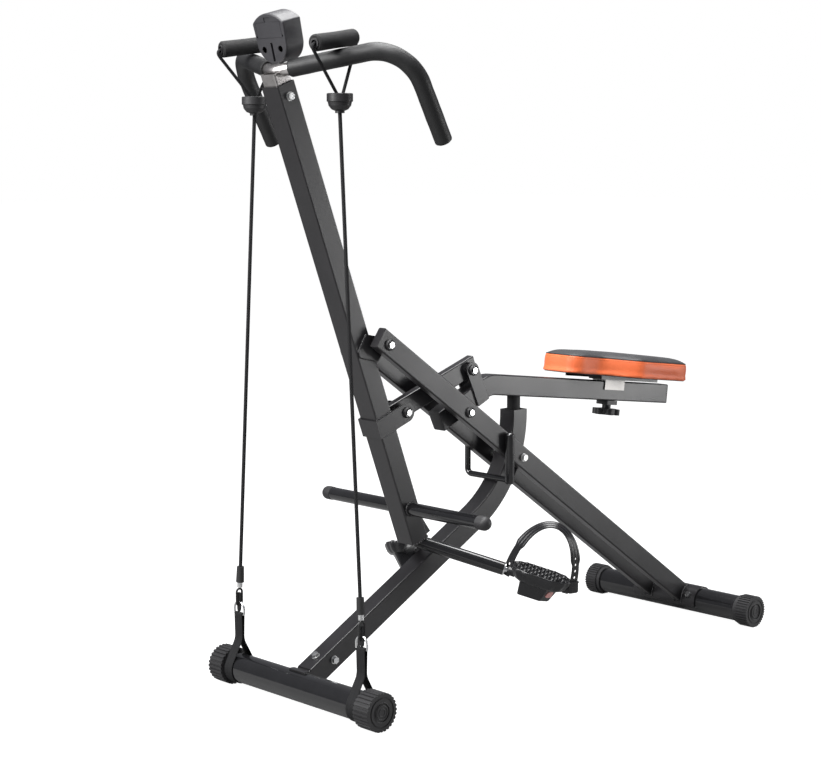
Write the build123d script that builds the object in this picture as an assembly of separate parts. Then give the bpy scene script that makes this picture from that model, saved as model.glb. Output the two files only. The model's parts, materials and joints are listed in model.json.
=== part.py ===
from build123d import *
from math import cos, pi, radians, sin, tan
import os

# Ride-style squat and row machine, in millimetres.
# X runs from the front crossbar to the rear one, Y from the rider's left (near) side to the
# right (far) side, and Z is up. The machine stands with its seat beam down on the stop.

# ---- driving dimensions ----
wheel_base = 1184.0          # front crossbar axis to rear crossbar axis
bar_span = 500.0             # crossbars, over their end caps
bar_radius = 30.0
bar_wall = 2.0
cap_length = 42.0
cap_end_wall = 6.0
front_cap_radius = 39.0
rear_cap_radius = 37.0
cap_land = 0.4               # worn flat under each end cap
tube_wall = 2.0
tube_depth = 45.0            # the depth that all square tubes share
tube_corner = 3.0
weld_gap = 0.05              # around pieces that pass through one another and are welded
bolt_radius = 4.0
bolt_gap = 0.08              # around every bolt, and the running fit of the pivots
head_height = 6.0
head_flat = 6.5              # half the width across flats
flange_height = 1.5
flange_radius = 8.5
thread_end = 2.0             # bolt standing out of its nut
side_gap = 0.5               # between pieces that slide past each other

beam_width = 21.0
beam_gap = 70.0              # between the two long beams
mast_pivot_x = 199.0
mast_pivot_z = 720.0
seat_pivot_reach = 279.0     # along the beams from the mast pivot
tube_bolt_reach = 480.0
beam_nose = 28.0             # beam end beyond the mast pivot

frame_width = 42.0
frame_lean = 29.6            # degrees that the lower stretch rises
frame_upright_x = 619.5
frame_bend = 250.0
frame_top_z = 546.0
frame_offset = 1.0           # lower stretch's axis above the front crossbar's, at the bar

mast_width = 50.0
mast_lean = 20.7             # degrees from upright
mast_pivot_offset = 42.2     # pivot behind the mast's axis
mast_above = 568.0
mast_below = 437.0
cheek = 4.0
link_drop = 164.0            # link pin below the mast pivot, along the mast
link_offset = 58.8           # link pin behind the mast's axis
collar_height = 40.0
stem_width = 42.0
stem_depth = 38.0
stem_rise = 24.0

seat_width = 34.0            # seat beam and rocker tube
rocker_rise = 24.8           # degrees
rocker_front = 47.0
rocker_back = 92.0
ear_reach = 74.8             # link pin from the seat pivot, along the rocker
ear_height = 57.4
ear_half = 17.0
ear_plate = 4.0
seat_fall = 6.8              # degrees that the seat beam falls to the rear
seat_beam_corner = 20.6
seat_beam_bend = 66.0
seat_beam_length = 603.0
link_width = 20.0
link_front = 25.0
link_back = 20.0
link_hole = 7.4              # the link's rear hole, wide enough for the whole travel

peg_drop = 361.0             # foot-peg bar below the mast pivot, along the mast
peg_radius = 14.0
peg_span = 508.0
pedal_arm_x = 0.620          # direction of the near pedal arm
pedal_arm_y = 0.750
pedal_arm_z = -0.290
pedal_arm_drop = 5.0         # arm's apex below the mast's foot
pedal_arm_length = 198.0
pedal_tube_radius = 14.0
axle_radius = 6.0
pedal_middle = 276.0
pedal_half = 64.0
pedal_foot = 100.0           # pedal, heel to toe
strap_rise = 108.0
tread_top = 18.0             # tread's faces, from the axle
tread_bottom = -8.0
keel_bottom = -38.0
strap_tilt = 30.0            # toe edge lower than the heel edge

grip_radius = 12.7           # handlebar tube
foam_radius = 17.3
foam_start = 36.0
handle_bend = 85.0
handle_reach_x = 109.0       # bar centre to the corner of the outer bend
handle_reach_y = 257.0
handle_reach_z = 45.5
handle_drop_x = 96.0
handle_drop_z = 179.0

console_width = 92.0
console_height = 98.0
console_depth = 46.0
console_lean = 14.6
console_wall = 2.4
console_rise = 13.8          # console's foot above the handlebar's axis
console_set_back = 4.0
console_shoulder = 18.0      # where the rounded top starts, below its crown
console_chin = 34.0          # where the rounded bottom starts
stalk_width = 22.0
stalk_depth = 14.0
stalk_set_back = 10.0        # behind the handlebar's axis
console_edge = 3.0           # rounded outer edges
door_groove = 0.8            # around the battery door
door_width = 74.0
door_height = 31.0
door_middle = 66.0           # heights on the console's faces are from its foot
socket_radius = 6.5
socket_reach = 24.0
socket_height = 29.0
slot_width = 6.0
slot_length = 36.0
slot_height = 24.0
screw_radius = 2.0
screw_reach = 38.0
screw_height = 54.0
latch_width = 18.0           # recess over the battery door
latch_height = 9.0
screen_width = 54.0
screen_height = 30.0
screen_middle = 64.0
screen_skin = 1.4
button_radius = 9.0
button_height = 24.0
button_gap = 0.35
button_stand = 3.0           # out of the console's face
button_inside = 7.0          # into the console
button_collar = 2.0          # wider ring that keeps the button in
button_travel = 1.5

rope_radius = 3.75
rope_foot_y = 192.0
rope_head_y = 130.0
rope_head_x = 4.0
cup_bottom_z = 1179.0
cup_height = 37.0
pull_length = 122.0
pull_radius = 16.2

pad_length = 338.0
pad_width = 264.0
nose_width = 124.0
pad_front_x = 746.0
pad_height = 38.0
board_height = 8.0
bracket_height = 10.5
slider_along = 408.0         # slider's middle from the seat beam's corner
slide_back = 40.0
slide_front = 60.0
knob_radius = 32.0

parts = {}


def at(x, z, y=0.0):
    return Vector(x, y, z)


def heading(angle):
    # unit direction in the side plane, an angle in degrees above the rear-pointing level
    return Vector(cos(radians(angle)), 0, sin(radians(angle)))


def bar(start, end, radius, bore=0.0):
    run = end - start
    ring = Circle(radius)
    if bore:
        ring -= Circle(bore)
    return extrude(Plane(origin=start, z_dir=run) * ring, run.length)


def pin(point, radius, half, bore=0.0):
    # round bar across the machine
    return bar(point - Vector(0, half, 0), point + Vector(0, half, 0), radius, bore)


def square_bar(path, width, depth, corner=tube_corner):
    start = Plane(origin=path @ 0, x_dir=(0, 1, 0), z_dir=path % 0)
    return sweep(start * RectangleRounded(width, depth, corner), path=path)


def square_tube(path, width, wall=tube_wall, depth=tube_depth):
    core = square_bar(path, width - 2 * wall, depth - 2 * wall, tube_corner / 2)
    return square_bar(path, width, depth) - core


def slab(points, y_from, y_to):
    # flat plate with its outline in the side plane
    outline = Polyline(*[Vector(p.X, y_from, p.Z) for p in points], close=True)
    return extrude(make_face(outline), amount=y_to - y_from, dir=(0, 1, 0))


def both(shape):
    return [shape, mirror(shape, about=Plane.XZ)]


def near_and_far(name, shape):
    parts[name + "_near"] = shape
    parts[name + "_far"] = mirror(shape, about=Plane.XZ)


def bolt(start, direction, grip, radius=bolt_radius):
    # flanged hexagon bolt and its flanged nut, as two solids
    hexagon = RegularPolygon(head_flat, 6, major_radius=False)
    under_head = Plane(origin=start, z_dir=direction * -1)
    under_nut = Plane(origin=start + direction * grip, z_dir=direction)
    shank_end = start + direction * (grip + flange_height + head_height + thread_end)
    head = extrude(under_head * Circle(flange_radius), flange_height)
    head += extrude(under_head * hexagon, flange_height + head_height)
    nut = extrude(under_nut * Circle(flange_radius), flange_height)
    nut += extrude(under_nut * hexagon, flange_height + head_height)
    return [head + bar(start, shank_end, radius), nut - bar(start, shank_end, radius + bolt_gap)]


def cross_bolt(point, half):
    return bolt(point - Vector(0, half, 0), Vector(0, 1, 0), 2 * half)


# ---- reference points ----
front_axis = at(0, front_cap_radius - cap_land)
rear_axis = at(wheel_base, rear_cap_radius - cap_land)
mast_pivot = at(mast_pivot_x, mast_pivot_z)
beam_run = (rear_axis - mast_pivot).normalized()
beam_up = Vector(-beam_run.Z, 0, beam_run.X)
seat_pivot = mast_pivot + beam_run * seat_pivot_reach
tube_bolt = mast_pivot + beam_run * tube_bolt_reach

mast_up = heading(90 + mast_lean)
mast_back = heading(mast_lean)
mast_middle = mast_pivot - mast_back * mast_pivot_offset
mast_foot = mast_middle - mast_up * mast_below
mast_head = mast_middle + mast_up * mast_above
link_pin_front = mast_middle - mast_up * link_drop + mast_back * link_offset

rocker_run = heading(rocker_rise)
rocker_up = heading(90 + rocker_rise)
link_pin_rear = seat_pivot + rocker_run * ear_reach + rocker_up * ear_height
seat_run = heading(-seat_fall)
seat_up = heading(90 - seat_fall)
rocker_end = seat_pivot + rocker_run * rocker_back
seat_corner = rocker_end + rocker_run * seat_beam_corner
seat_end = seat_corner + seat_run * seat_beam_length


# ---- crossbars and their end caps ----
def crossbar(axis):
    return pin(axis, bar_radius, bar_span / 2 - cap_end_wall, bar_radius - bar_wall)


def ribbed_outline(radius, ribs, depth):
    corners = []
    for rib in range(ribs):
        middle = 2 * pi * rib / ribs - pi / 2
        for share, reach in ((-0.34, radius - depth), (-0.24, radius), (0.24, radius), (0.34, radius - depth)):
            angle = middle + share * 2 * pi / ribs
            corners.append((reach * cos(angle), reach * sin(angle)))
    return make_face(Polyline(*corners, close=True))


def end_cap(axis, radius, ribs, collar):
    face_y = bar_span / 2
    outer = Plane(origin=axis - Vector(0, face_y, 0), x_dir=(1, 0, 0), z_dir=(0, -1, 0))
    body = extrude(outer * ribbed_outline(radius, ribs, 2.2), -(cap_length - collar))
    if collar:
        body += extrude(outer.offset(-(cap_length - collar)) * Circle(radius - 3.5), -collar)
    body -= extrude(outer.offset(-cap_end_wall) * Circle(bar_radius), -cap_length)
    for groove in (radius * 0.78, radius * 0.5):
        body -= extrude(outer * (Circle(groove) - Circle(groove - 3)), -1.5)
    return body - Pos(axis.X, 0, -50) * Box(200, 2 * bar_span, 100)


parts["front_crossbar"] = crossbar(front_axis)
parts["rear_crossbar"] = crossbar(rear_axis)
near_and_far("front_cap", end_cap(front_axis, front_cap_radius, 28, 0))
near_and_far("rear_cap", end_cap(rear_axis, rear_cap_radius, 36, 9))

# ---- bent main tube, from the front crossbar up between the beams ----
frame_run = heading(frame_lean)
frame_up = heading(90 + frame_lean)
frame_base = front_axis + frame_up * frame_offset + frame_run * 10
corner_rise = (frame_upright_x - frame_base.X) * frame_run.Z / frame_run.X
frame_corner = at(frame_upright_x, frame_base.Z + corner_rise)
frame_path = FilletPolyline(frame_base, frame_corner, at(frame_upright_x, frame_top_z), radius=frame_bend)
frame_tube = square_tube(frame_path, frame_width)
saddle_skin = 4.0
frame_tube -= pin(front_axis, bar_radius + saddle_skin + weld_gap, bar_span)
frame_tube -= Pos(-40, 0, 0) * Box(110, 200, 400)
stub_bolts = [front_axis + frame_up * frame_offset + frame_run * reach for reach in (66, 88)]
frame_tube -= bar(stub_bolts[0] + frame_up * 40, stub_bolts[0] - frame_up * 40, bolt_radius + bolt_gap)
frame_tube -= pin(stub_bolts[1], bolt_radius + bolt_gap, frame_width)
frame_tube -= pin(tube_bolt, bolt_radius + bolt_gap, beam_gap)
parts["frame_tube"] = frame_tube

stub_gap = 0.5
stub_reach = 118.0
saddle_half_width = 24.0
stub_width = frame_width - 2 * tube_wall - 2 * stub_gap
stub_depth = tube_depth - 2 * tube_wall - 2 * stub_gap
stub_axis = front_axis + frame_up * frame_offset
stub_end = stub_axis + frame_run * stub_reach
saddle_wedge = [front_axis + heading(angle) * 80 for angle in (100, 60, 10, -35)] + [front_axis]
saddle = pin(front_axis, bar_radius + saddle_skin, saddle_half_width) & slab(saddle_wedge, -60, 60)
stub = square_bar(Line(stub_axis + frame_run * 12, stub_end), stub_width, stub_depth) + saddle
stub_wall = stub_width - 2 * tube_wall
stub -= square_bar(Line(stub_axis, stub_end), stub_wall, stub_depth - 2 * tube_wall, tube_corner / 2)
stub -= pin(front_axis, bar_radius, bar_span)
stub -= bar(stub_bolts[0] + frame_up * 40, stub_bolts[0] - frame_up * 40, bolt_radius + bolt_gap)
stub -= pin(stub_bolts[1], bolt_radius + bolt_gap, frame_width)
parts["front_stub"] = stub

# ---- the two long beams ----
beam_y = (beam_gap + beam_width) / 2
beam_outer = beam_gap / 2 + beam_width
saddle_radius = bar_radius + 3.5
beam_start = mast_pivot - beam_run * beam_nose
beam = square_tube(Line(beam_start, rear_axis), beam_width)
beam += extrude(
    Plane(origin=beam_start, x_dir=(0, 1, 0), z_dir=beam_run) * RectangleRounded(beam_width, tube_depth, tube_corner),
    2.5,
)
beam = Pos(0, -beam_y, 0) * beam
beam -= pin(rear_axis, saddle_radius, bar_span)
for pivot in (mast_pivot, seat_pivot, tube_bolt):
    beam -= pin(pivot, bolt_radius + bolt_gap, bar_span)
near_and_far("beam", beam)

# ---- rear saddle, bolted round the rear crossbar ----
saddle_half = 94.0
rear_saddle = pin(rear_axis, saddle_radius, saddle_half, bar_radius)
rear_saddle -= slab(
    [rear_axis, rear_axis + heading(20) * 90, rear_axis + heading(-70) * 90, rear_axis + heading(-160) * 90],
    -bar_span,
    bar_span,
)
saddle_bolts = [rear_axis + Vector(0, side * 75, 0) for side in (-1, 1)]
saddle_out = heading(152)
for seat_of_bolt in saddle_bolts:
    rear_saddle -= bar(seat_of_bolt, seat_of_bolt + saddle_out * 60, bolt_radius + bolt_gap)
    parts["rear_crossbar"] -= bar(seat_of_bolt, seat_of_bolt + saddle_out * 60, bolt_radius + bolt_gap)
parts["rear_saddle"] = rear_saddle


def saddle_bolt(point):
    # domed washer, bolt into a rivet nut inside the bar
    out = point + saddle_out * (saddle_radius + 0.6)
    head = extrude(Plane(origin=out, z_dir=saddle_out) * RegularPolygon(head_flat, 6, major_radius=False), head_height)
    return head + bar(out, point + saddle_out * (bar_radius - 14), bolt_radius)


frame_bolts = [saddle_bolt(point) for point in saddle_bolts]
frame_bolts += cross_bolt(stub_bolts[1], frame_width / 2)
frame_bolts += cross_bolt(tube_bolt, beam_outer)
top_of_tube = stub_bolts[0] + frame_up * (tube_depth / 2)
frame_bolts += bolt(top_of_tube, frame_up * -1, tube_depth)
parts["frame_bolts"] = Compound(children=frame_bolts)
parts["pivot_bolts"] = Compound(children=cross_bolt(mast_pivot, beam_outer) + cross_bolt(seat_pivot, beam_outer))

# sleeves that keep the beams apart: beside the main tube, the mast hinge and the rocker
mast_hinge_half = mast_width / 2 + cheek
sleeves = []
for pivot, half in (
    (tube_bolt, frame_width / 2),
    (mast_pivot, mast_hinge_half + side_gap),
    (seat_pivot, seat_width / 2 + side_gap),
):
    sleeve = bar(pivot - Vector(0, beam_gap / 2, 0), pivot - Vector(0, half, 0), 9, bolt_radius + bolt_gap)
    sleeves += both(sleeve)
parts["beam_spacers"] = Compound(children=sleeves)

# ---- rubber stop in the main tube's open top, just under the seat beam ----
stop_radius = 14.5
beam_underside = seat_corner.Z - (frame_upright_x - seat_corner.X) * tan(radians(seat_fall))
stop_top = beam_underside - (tube_depth / 2) / cos(radians(seat_fall)) - side_gap
stop_base = frame_top_z - 34
plug_height = 22.0
plug_gap = 0.2
plug_width = frame_width - 2 * (tube_wall + plug_gap)
plug_depth = tube_depth - 2 * (tube_wall + plug_gap)
plug = square_bar(frame_path, plug_width, plug_depth, tube_corner / 2)
plug &= Pos(frame_upright_x, 0, stop_base + plug_height / 2) * Box(120, 120, plug_height)
stop = bar(at(frame_upright_x, stop_base + plug_height), at(frame_upright_x, stop_top + 8), stop_radius)
under_beam = seat_corner - seat_up * (tube_depth / 2 + side_gap)
stop -= slab(
    [under_beam, under_beam + seat_run * 300, under_beam + seat_run * 300 + seat_up * 80, under_beam + seat_up * 80],
    -60,
    60,
)
parts["stop_bumper"] = plug + stop

# ---- hook bar under the beams ----
hook_x = 540.0
hook_low = 404.0
hook_radius = 6.5
hook_post = 10.0             # round post
hook_y = beam_outer + 10
hook_line = mast_pivot + beam_run * ((hook_x - mast_pivot.X) / beam_run.X)
hook_path = FilletPolyline(
    (hook_x, -hook_y, hook_line.Z - 30),
    (hook_x, -hook_y, hook_low),
    (hook_x, beam_outer + hook_radius, hook_low),
    (hook_x, beam_outer + hook_radius, hook_line.Z),
    radius=12,
)
hook = sweep(Plane(origin=hook_path @ 0, z_dir=hook_path % 0) * Circle(hook_radius), path=hook_path)
hook += bar(Vector(hook_x, -hook_y, hook_low - 4), Vector(hook_x, -hook_y, hook_line.Z + 18), hook_post)
parts["hook_bar"] = hook

# ---- mast ----
mast_tube = square_tube(Line(mast_foot, mast_head), mast_width)
peg_axis = mast_middle - mast_up * peg_drop
stem_bolt = mast_head - mast_up * 26
mast_tube -= pin(peg_axis, peg_radius + weld_gap, 100)
mast_tube -= pin(stem_bolt, bolt_radius + bolt_gap, 100)
parts["mast_tube"] = mast_tube

bar_centre = mast_head + mast_up * stem_rise
stem = square_tube(Line(mast_head - mast_up * 90, bar_centre), stem_width, depth=stem_depth)
stem -= pin(stem_bolt, bolt_radius + bolt_gap, 100)

# hinge cheeks on the mast's sides, with the pivot tube between them
foot_of_pivot = mast_pivot - mast_back * (mast_pivot_offset - tube_depth / 2)
cheek_points = [
    foot_of_pivot - mast_back * (tube_depth - 4) + mast_up * 8,
    foot_of_pivot - mast_back * 8 + mast_up * 34,
    foot_of_pivot + mast_back * 4 + mast_up * 26,
    mast_pivot + mast_up * 12 + mast_back * 9,
    mast_pivot - mast_up * 13 + mast_back * 8,
    foot_of_pivot - mast_up * 30,
    foot_of_pivot - mast_back * (tube_depth - 4) - mast_up * 2,
]
cheeks = both(slab(cheek_points, -mast_hinge_half, -mast_width / 2))
hinge_sleeve = pin(mast_pivot, 11, mast_width / 2)
hinge = cheeks[0] + cheeks[1] + hinge_sleeve - pin(mast_pivot, bolt_radius + bolt_gap, 100)
parts["mast_hinge"] = hinge

# collar wrapped round the mast's front, with two ears back to the link pin
collar_middle = mast_middle - mast_up * link_drop
collar_skin = 3.5
collar_front = collar_middle - mast_back * (tube_depth / 2 + collar_skin)
collar_points = [
    collar_front + mast_up * (collar_height / 2),
    link_pin_front + mast_up * (collar_height / 2),
    link_pin_front - mast_up * (collar_height / 2),
    collar_front - mast_up * (collar_height / 2),
]
collar_half = mast_width / 2 + collar_skin
collar = slab(collar_points, -collar_half, collar_half) + pin(link_pin_front, collar_height / 2, collar_half)
collar_core = [
    collar_middle - mast_back * (tube_depth / 2) + mast_up * 60,
    link_pin_front + mast_back * 60 + mast_up * 60,
    link_pin_front + mast_back * 60 - mast_up * 60,
    collar_middle - mast_back * (tube_depth / 2) - mast_up * 60,
]
collar -= slab(collar_core, -mast_width / 2, mast_width / 2)
collar -= pin(link_pin_front, bolt_radius + bolt_gap, 100)
parts["link_collar"] = collar

link_spacer = bar(
    link_pin_front - Vector(0, mast_width / 2, 0),
    link_pin_front - Vector(0, link_width / 2 + side_gap, 0),
    9,
    bolt_radius + bolt_gap,
)
mast_bolts = cross_bolt(link_pin_front, collar_half) + both(link_spacer) + cross_bolt(stem_bolt, mast_width / 2)
parts["mast_bolts"] = Compound(children=mast_bolts)

# foot-peg bar through the mast, with domed ends
peg = pin(peg_axis, peg_radius, peg_span / 2 - peg_radius, peg_radius - tube_wall)
for side in (-1, 1):
    end = peg_axis + Vector(0, side * (peg_span / 2 - peg_radius), 0)
    peg += Pos(end.X, end.Y, end.Z) * Sphere(peg_radius)
parts["peg_bar"] = peg

# swept pedal arms, welded across the mast's foot, and the gusset behind them
arm_apex = mast_foot - mast_up * pedal_arm_drop + mast_back * 4
near_arm = Vector(pedal_arm_x, -pedal_arm_y, pedal_arm_z).normalized()
arm = bar(arm_apex, arm_apex + near_arm * pedal_arm_length, pedal_tube_radius)
arm_bore = bar(arm_apex + near_arm * 60, arm_apex + near_arm * 250, pedal_tube_radius - tube_wall)
arms = both(arm)
bores = both(arm_bore)
pedal_tube = arms[0] + arms[1] + Pos(arm_apex.X, 0, arm_apex.Z) * Sphere(pedal_tube_radius) - bores[0] - bores[1]
gusset_top = mast_foot + mast_back * (tube_depth / 2) + mast_up * 52
gusset_points = [
    gusset_top,
    gusset_top + mast_back * 14 - mast_up * 12,
    arm_apex + mast_back * 46 - mast_up * 2,
    arm_apex + mast_back * 10 - mast_up * 6,
    arm_apex + mast_back * (tube_depth / 2 - 4) + mast_up * pedal_arm_drop,
]
pedal_tube += slab(gusset_points, -2.5, 2.5)
mast_front = mast_foot - mast_back * (tube_depth / 2)
mast_rear = mast_foot + mast_back * (tube_depth / 2)
mast_end = [mast_front, mast_rear, mast_rear + mast_up * 80, mast_front + mast_up * 80]
pedal_tube -= slab(mast_end, -mast_width / 2, mast_width / 2)
arm_ring = pedal_tube_radius - tube_wall
axle = bar(arm_apex + near_arm * 170, arm_apex + near_arm * (pedal_arm_length + 3), arm_ring)
axle += bar(arm_apex + near_arm * 190, arm_apex + near_arm * (pedal_middle + pedal_half - 12), axle_radius)
axle += bar(arm_apex + near_arm * pedal_arm_length, arm_apex + near_arm * (pedal_arm_length + 3), pedal_tube_radius - 1)
axles = both(axle)
parts["pedal_tube"] = pedal_tube
parts["pedal_axles"] = Compound(children=axles)


# ---- pedals: tread, weighted keel and toe strap ----
pedal_centre = arm_apex + near_arm * pedal_middle
foot_line = Vector(near_arm.Y, -near_arm.X, 0).normalized() * -1
pedal_plane = Plane(origin=pedal_centre, x_dir=near_arm, z_dir=foot_line)
if pedal_plane.y_dir.Z < 0:
    foot_line = foot_line * -1
    pedal_plane = Plane(origin=pedal_centre, x_dir=near_arm, z_dir=foot_line)
tread_plane = Plane(origin=pedal_centre, x_dir=near_arm, z_dir=pedal_plane.y_dir)

tread = Rectangle(2 * pedal_half, pedal_foot)
tread = fillet(tread.vertices(), 26)
pedal = extrude(tread_plane.offset(tread_bottom) * tread, tread_top - tread_bottom)
for side in (-1, 1):
    for along in (-24, 0, 24):
        scallop = Pos(along, side * (pedal_foot / 2 + 7)) * Circle(11)
        pedal -= extrude(tread_plane.offset(tread_top - 8) * scallop, 20)
keel = Rectangle(74, 56)
keel = fillet(keel.vertices(), 8)
pedal += extrude(tread_plane.offset(tread_bottom) * keel, keel_bottom - tread_bottom, taper=8)
bump_radius = 4.5
for across in (-2, -1, 0, 1, 2):
    for along in (-1, 0, 1):
        bump = Pos(across * 18 + (along % 2) * 4, along * 22) * Circle(bump_radius)
        pedal += extrude(tread_plane.offset(tread_top) * bump, 3)
pedal -= bar(pedal_centre - near_arm * 100, pedal_centre + near_arm * (pedal_half - 10), axle_radius + bolt_gap)
near_and_far("pedal", pedal)

strap_skin = 2.6
strap_width = 27.0
strap_axle_gap = 0.6
strap_x = pedal_half + 7
arch = Ellipse(strap_x, strap_rise) - Ellipse(strap_x - strap_skin, strap_rise - strap_skin)
arch -= Pos(0, -strap_rise) * Rectangle(4 * strap_x, 2 * strap_rise)
for side in (-1, 1):
    arch += Pos(side * (strap_x - strap_skin / 2), -9) * Rectangle(strap_skin, 18.4)
    arch += Pos(side * (strap_x - 3.5), -8) * Rectangle(7, 6)
strap_run = foot_line * cos(radians(strap_tilt)) - pedal_plane.y_dir * sin(radians(strap_tilt))
strap_start = Plane(origin=pedal_centre - strap_run * (strap_width / 2), x_dir=near_arm, z_dir=foot_line)
toe_strap = extrude(strap_start * arch, strap_width, dir=strap_run)
toe_strap -= bar(pedal_centre - near_arm * 2 * pedal_half, pedal_centre, axle_radius + strap_axle_gap)
near_and_far("toe_strap", toe_strap - pedal)

# ---- handlebar and its foam sleeves ----
handle_corner = bar_centre + Vector(handle_reach_x, -handle_reach_y, handle_reach_z)
handle_tip = handle_corner + Vector(handle_drop_x, 0, -handle_drop_z)
tip_run = (handle_tip - handle_corner).normalized()


def across(point):
    return Vector(point.X, -point.Y, point.Z)


bar_end = handle_tip - tip_run * 5
handle_path = FilletPolyline(
    bar_end, handle_corner, bar_centre, across(handle_corner), across(bar_end), radius=[handle_bend, 50, handle_bend]
)
handlebar = sweep(Plane(origin=handle_path @ 0, z_dir=handle_path % 0) * Circle(grip_radius), path=handle_path)
handle_run = (handle_corner - bar_centre).normalized()
foam_path = FilletPolyline(bar_centre + handle_run * foam_start, handle_corner, handle_tip, radius=handle_bend)
foam = sweep(Plane(origin=foam_path @ 0, z_dir=foam_path % 0) * Circle(foam_radius), path=foam_path)
near_and_far("handle_foam", foam - handlebar)
parts["handlebar"] = handlebar
parts["mast_stem"] = (stem - handlebar).solids().sort_by(SortBy.VOLUME)[-1]

# ---- console on its stalk ----
console_up = heading(90 + console_lean)
console_back_dir = heading(console_lean)
console_low = bar_centre + at(console_set_back, console_rise)
shoulder = (console_width / 2, console_height - console_shoulder)
chin = (console_width / 2 - 3, console_chin)
outline = Line(chin, shoulder)
outline += ThreePointArc(shoulder, (0, console_height), (-shoulder[0], shoulder[1]))
outline += Line((-shoulder[0], shoulder[1]), (-chin[0], chin[1]))
outline += ThreePointArc((-chin[0], chin[1]), (0, 0), chin)
outline = make_face(outline)
outline = fillet(outline.vertices().sort_by(Axis.Y)[-2:], 5)
back_plane = Plane(origin=console_low, x_dir=(0, -1, 0), z_dir=console_back_dir * -1)
shell_join = console_depth * 0.5
cover_depth = console_depth - shell_join
join_plane = back_plane.offset(-shell_join)
through_console = Axis(origin=(0, 0, 0), direction=console_back_dir)
inner = offset(outline, amount=-console_wall)
back_shell = extrude(back_plane * outline, -shell_join)
back_shell = fillet(back_shell.faces().sort_by(through_console)[0].edges(), console_edge)
back_shell -= extrude(back_plane.offset(-console_wall) * inner, -shell_join)
front_shell = extrude(join_plane * outline, -cover_depth)
front_shell = fillet(front_shell.faces().sort_by(through_console)[-1].edges(), console_edge)
front_shell -= extrude(join_plane * inner, -(cover_depth - console_wall))

# back: two keyhole sockets, the slot between them, the battery door's groove and two screw holes
for side in (-1, 1):
    socket = Pos(side * socket_reach, socket_height) * Circle(socket_radius)
    back_shell -= extrude(back_plane * socket, -console_wall)
    screw = Pos(side * screw_reach, screw_height) * Circle(screw_radius)
    back_shell -= extrude(back_plane * screw, -console_wall)
back_shell -= extrude(back_plane * Pos(0, slot_height) * Rectangle(slot_width, slot_length), -console_wall)
door = Rectangle(door_width, door_height) - Rectangle(door_width - 2 * door_groove, door_height - 2 * door_groove)
back_shell -= extrude(back_plane * Pos(0, door_middle) * door, -door_groove)
latch = Rectangle(latch_width, latch_height)
latch_middle = door_middle + (door_height + latch_height) / 2
back_shell -= extrude(back_plane * Pos(0, latch_middle) * latch, -2 * door_groove)

# front: the display window in its recess, and the button's hole
face_plane = back_plane.offset(-console_depth)
screen = Pos(0, screen_middle) * RectangleRounded(screen_width, screen_height, 3)
front_shell -= extrude(face_plane * screen, screen_skin)
button_spot = Pos(0, button_height)
front_shell -= extrude(face_plane * button_spot * Circle(button_radius + button_gap), 2 * console_wall)
parts["console_back"] = back_shell
parts["console_front"] = front_shell
parts["console_screen"] = extrude(face_plane * screen, screen_skin)
button = extrude(face_plane.offset(-button_inside) * button_spot * Circle(button_radius), button_inside + button_stand)
button += extrude(face_plane.offset(-button_inside) * button_spot * Circle(button_radius + 2), button_collar)
parts["console_button"] = button

stalk_plane = Plane(origin=bar_centre + at(stalk_set_back, 0), x_dir=(0, 1, 0), z_dir=(0, 0, 1))
stalk = extrude(stalk_plane * RectangleRounded(stalk_width, stalk_depth, 2), console_height / 2)
console_solid = extrude(back_plane * outline, -console_depth)
parts["console_stalk"] = (stalk - console_solid - handlebar - stem).solids().sort_by(Axis.Z)[-1]

# ---- pull ropes: straps and rings at the front bar, ropes, cups, cords and grips ----
ring_rod = 2.2
ring_low = 153.0
ring_high = 178.0
ring_half = 16.0
strap_split = 100.0          # below this the two plies part to go round the bar
strap_thick = 1.8
ply_gap = 0.4
webbing = 25.0
rope_foot = Vector(0, -rope_foot_y, ring_high)
rope_head = Vector(rope_head_x, -rope_head_y, cup_bottom_z)
rope_run = (rope_head - rope_foot).normalized()


def loop_face(extra):
    # outline of the webbing loop: round the bar, together at the split, and up round the ring
    round_bar = Pos(front_axis.X, front_axis.Z) * Circle(bar_radius + extra)
    split = Pos(front_axis.X, strap_split) * Circle(ply_gap + extra)
    round_ring = Pos(front_axis.X, ring_low) * Circle(ring_rod + weld_gap + extra)
    return make_hull(round_bar.edges() + split.edges()) + make_hull(split.edges() + round_ring.edges())


strap_plane = Plane(origin=(0, -rope_foot_y + webbing / 2, 0), x_dir=(1, 0, 0), z_dir=(0, -1, 0))
strap = extrude(strap_plane * (loop_face(strap_thick) - loop_face(0)), webbing)
near_and_far("bar_strap", strap)

ring_path = FilletPolyline(
    (0, -ring_half, ring_low),
    (0, ring_half, ring_low),
    (0, ring_half, ring_high),
    (0, -ring_half, ring_high),
    radius=[3, 3, 15, 15],
    close=True,
)
ring = sweep(Plane(origin=ring_path @ 0.05, z_dir=ring_path % 0.05) * Circle(ring_rod), path=ring_path)
ring = Pos(0, -rope_foot_y, 0) * ring
parts["d_rings"] = Compound(children=both(ring))

eye_path = FilletPolyline((-7, 0, -7), (7, 0, -7), (7, 0, 28), (-7, 0, 28), radius=6.5, close=True)
eye = sweep(Plane(origin=eye_path @ 0.05, z_dir=eye_path % 0.05) * Circle(2.2), path=eye_path)
eye = Pos(rope_foot.X, rope_foot.Y, rope_foot.Z) * eye
ferrule = bar(rope_foot + rope_run * 32, rope_foot + rope_run * 43, 5.5)
parts["rope_ferrules"] = Compound(children=both(ferrule - eye))
sleeve = loft(
    [
        Plane(origin=rope_foot + rope_run * 43, z_dir=rope_run) * Circle(8.5),
        Plane(origin=rope_foot + rope_run * 76, z_dir=rope_run) * Circle(7.5),
    ]
)
parts["rope_sleeves"] = Compound(children=both(sleeve) + both(eye))
rope_start = rope_foot + rope_run * 76
rope = bar(rope_start, rope_head, rope_radius)

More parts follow.
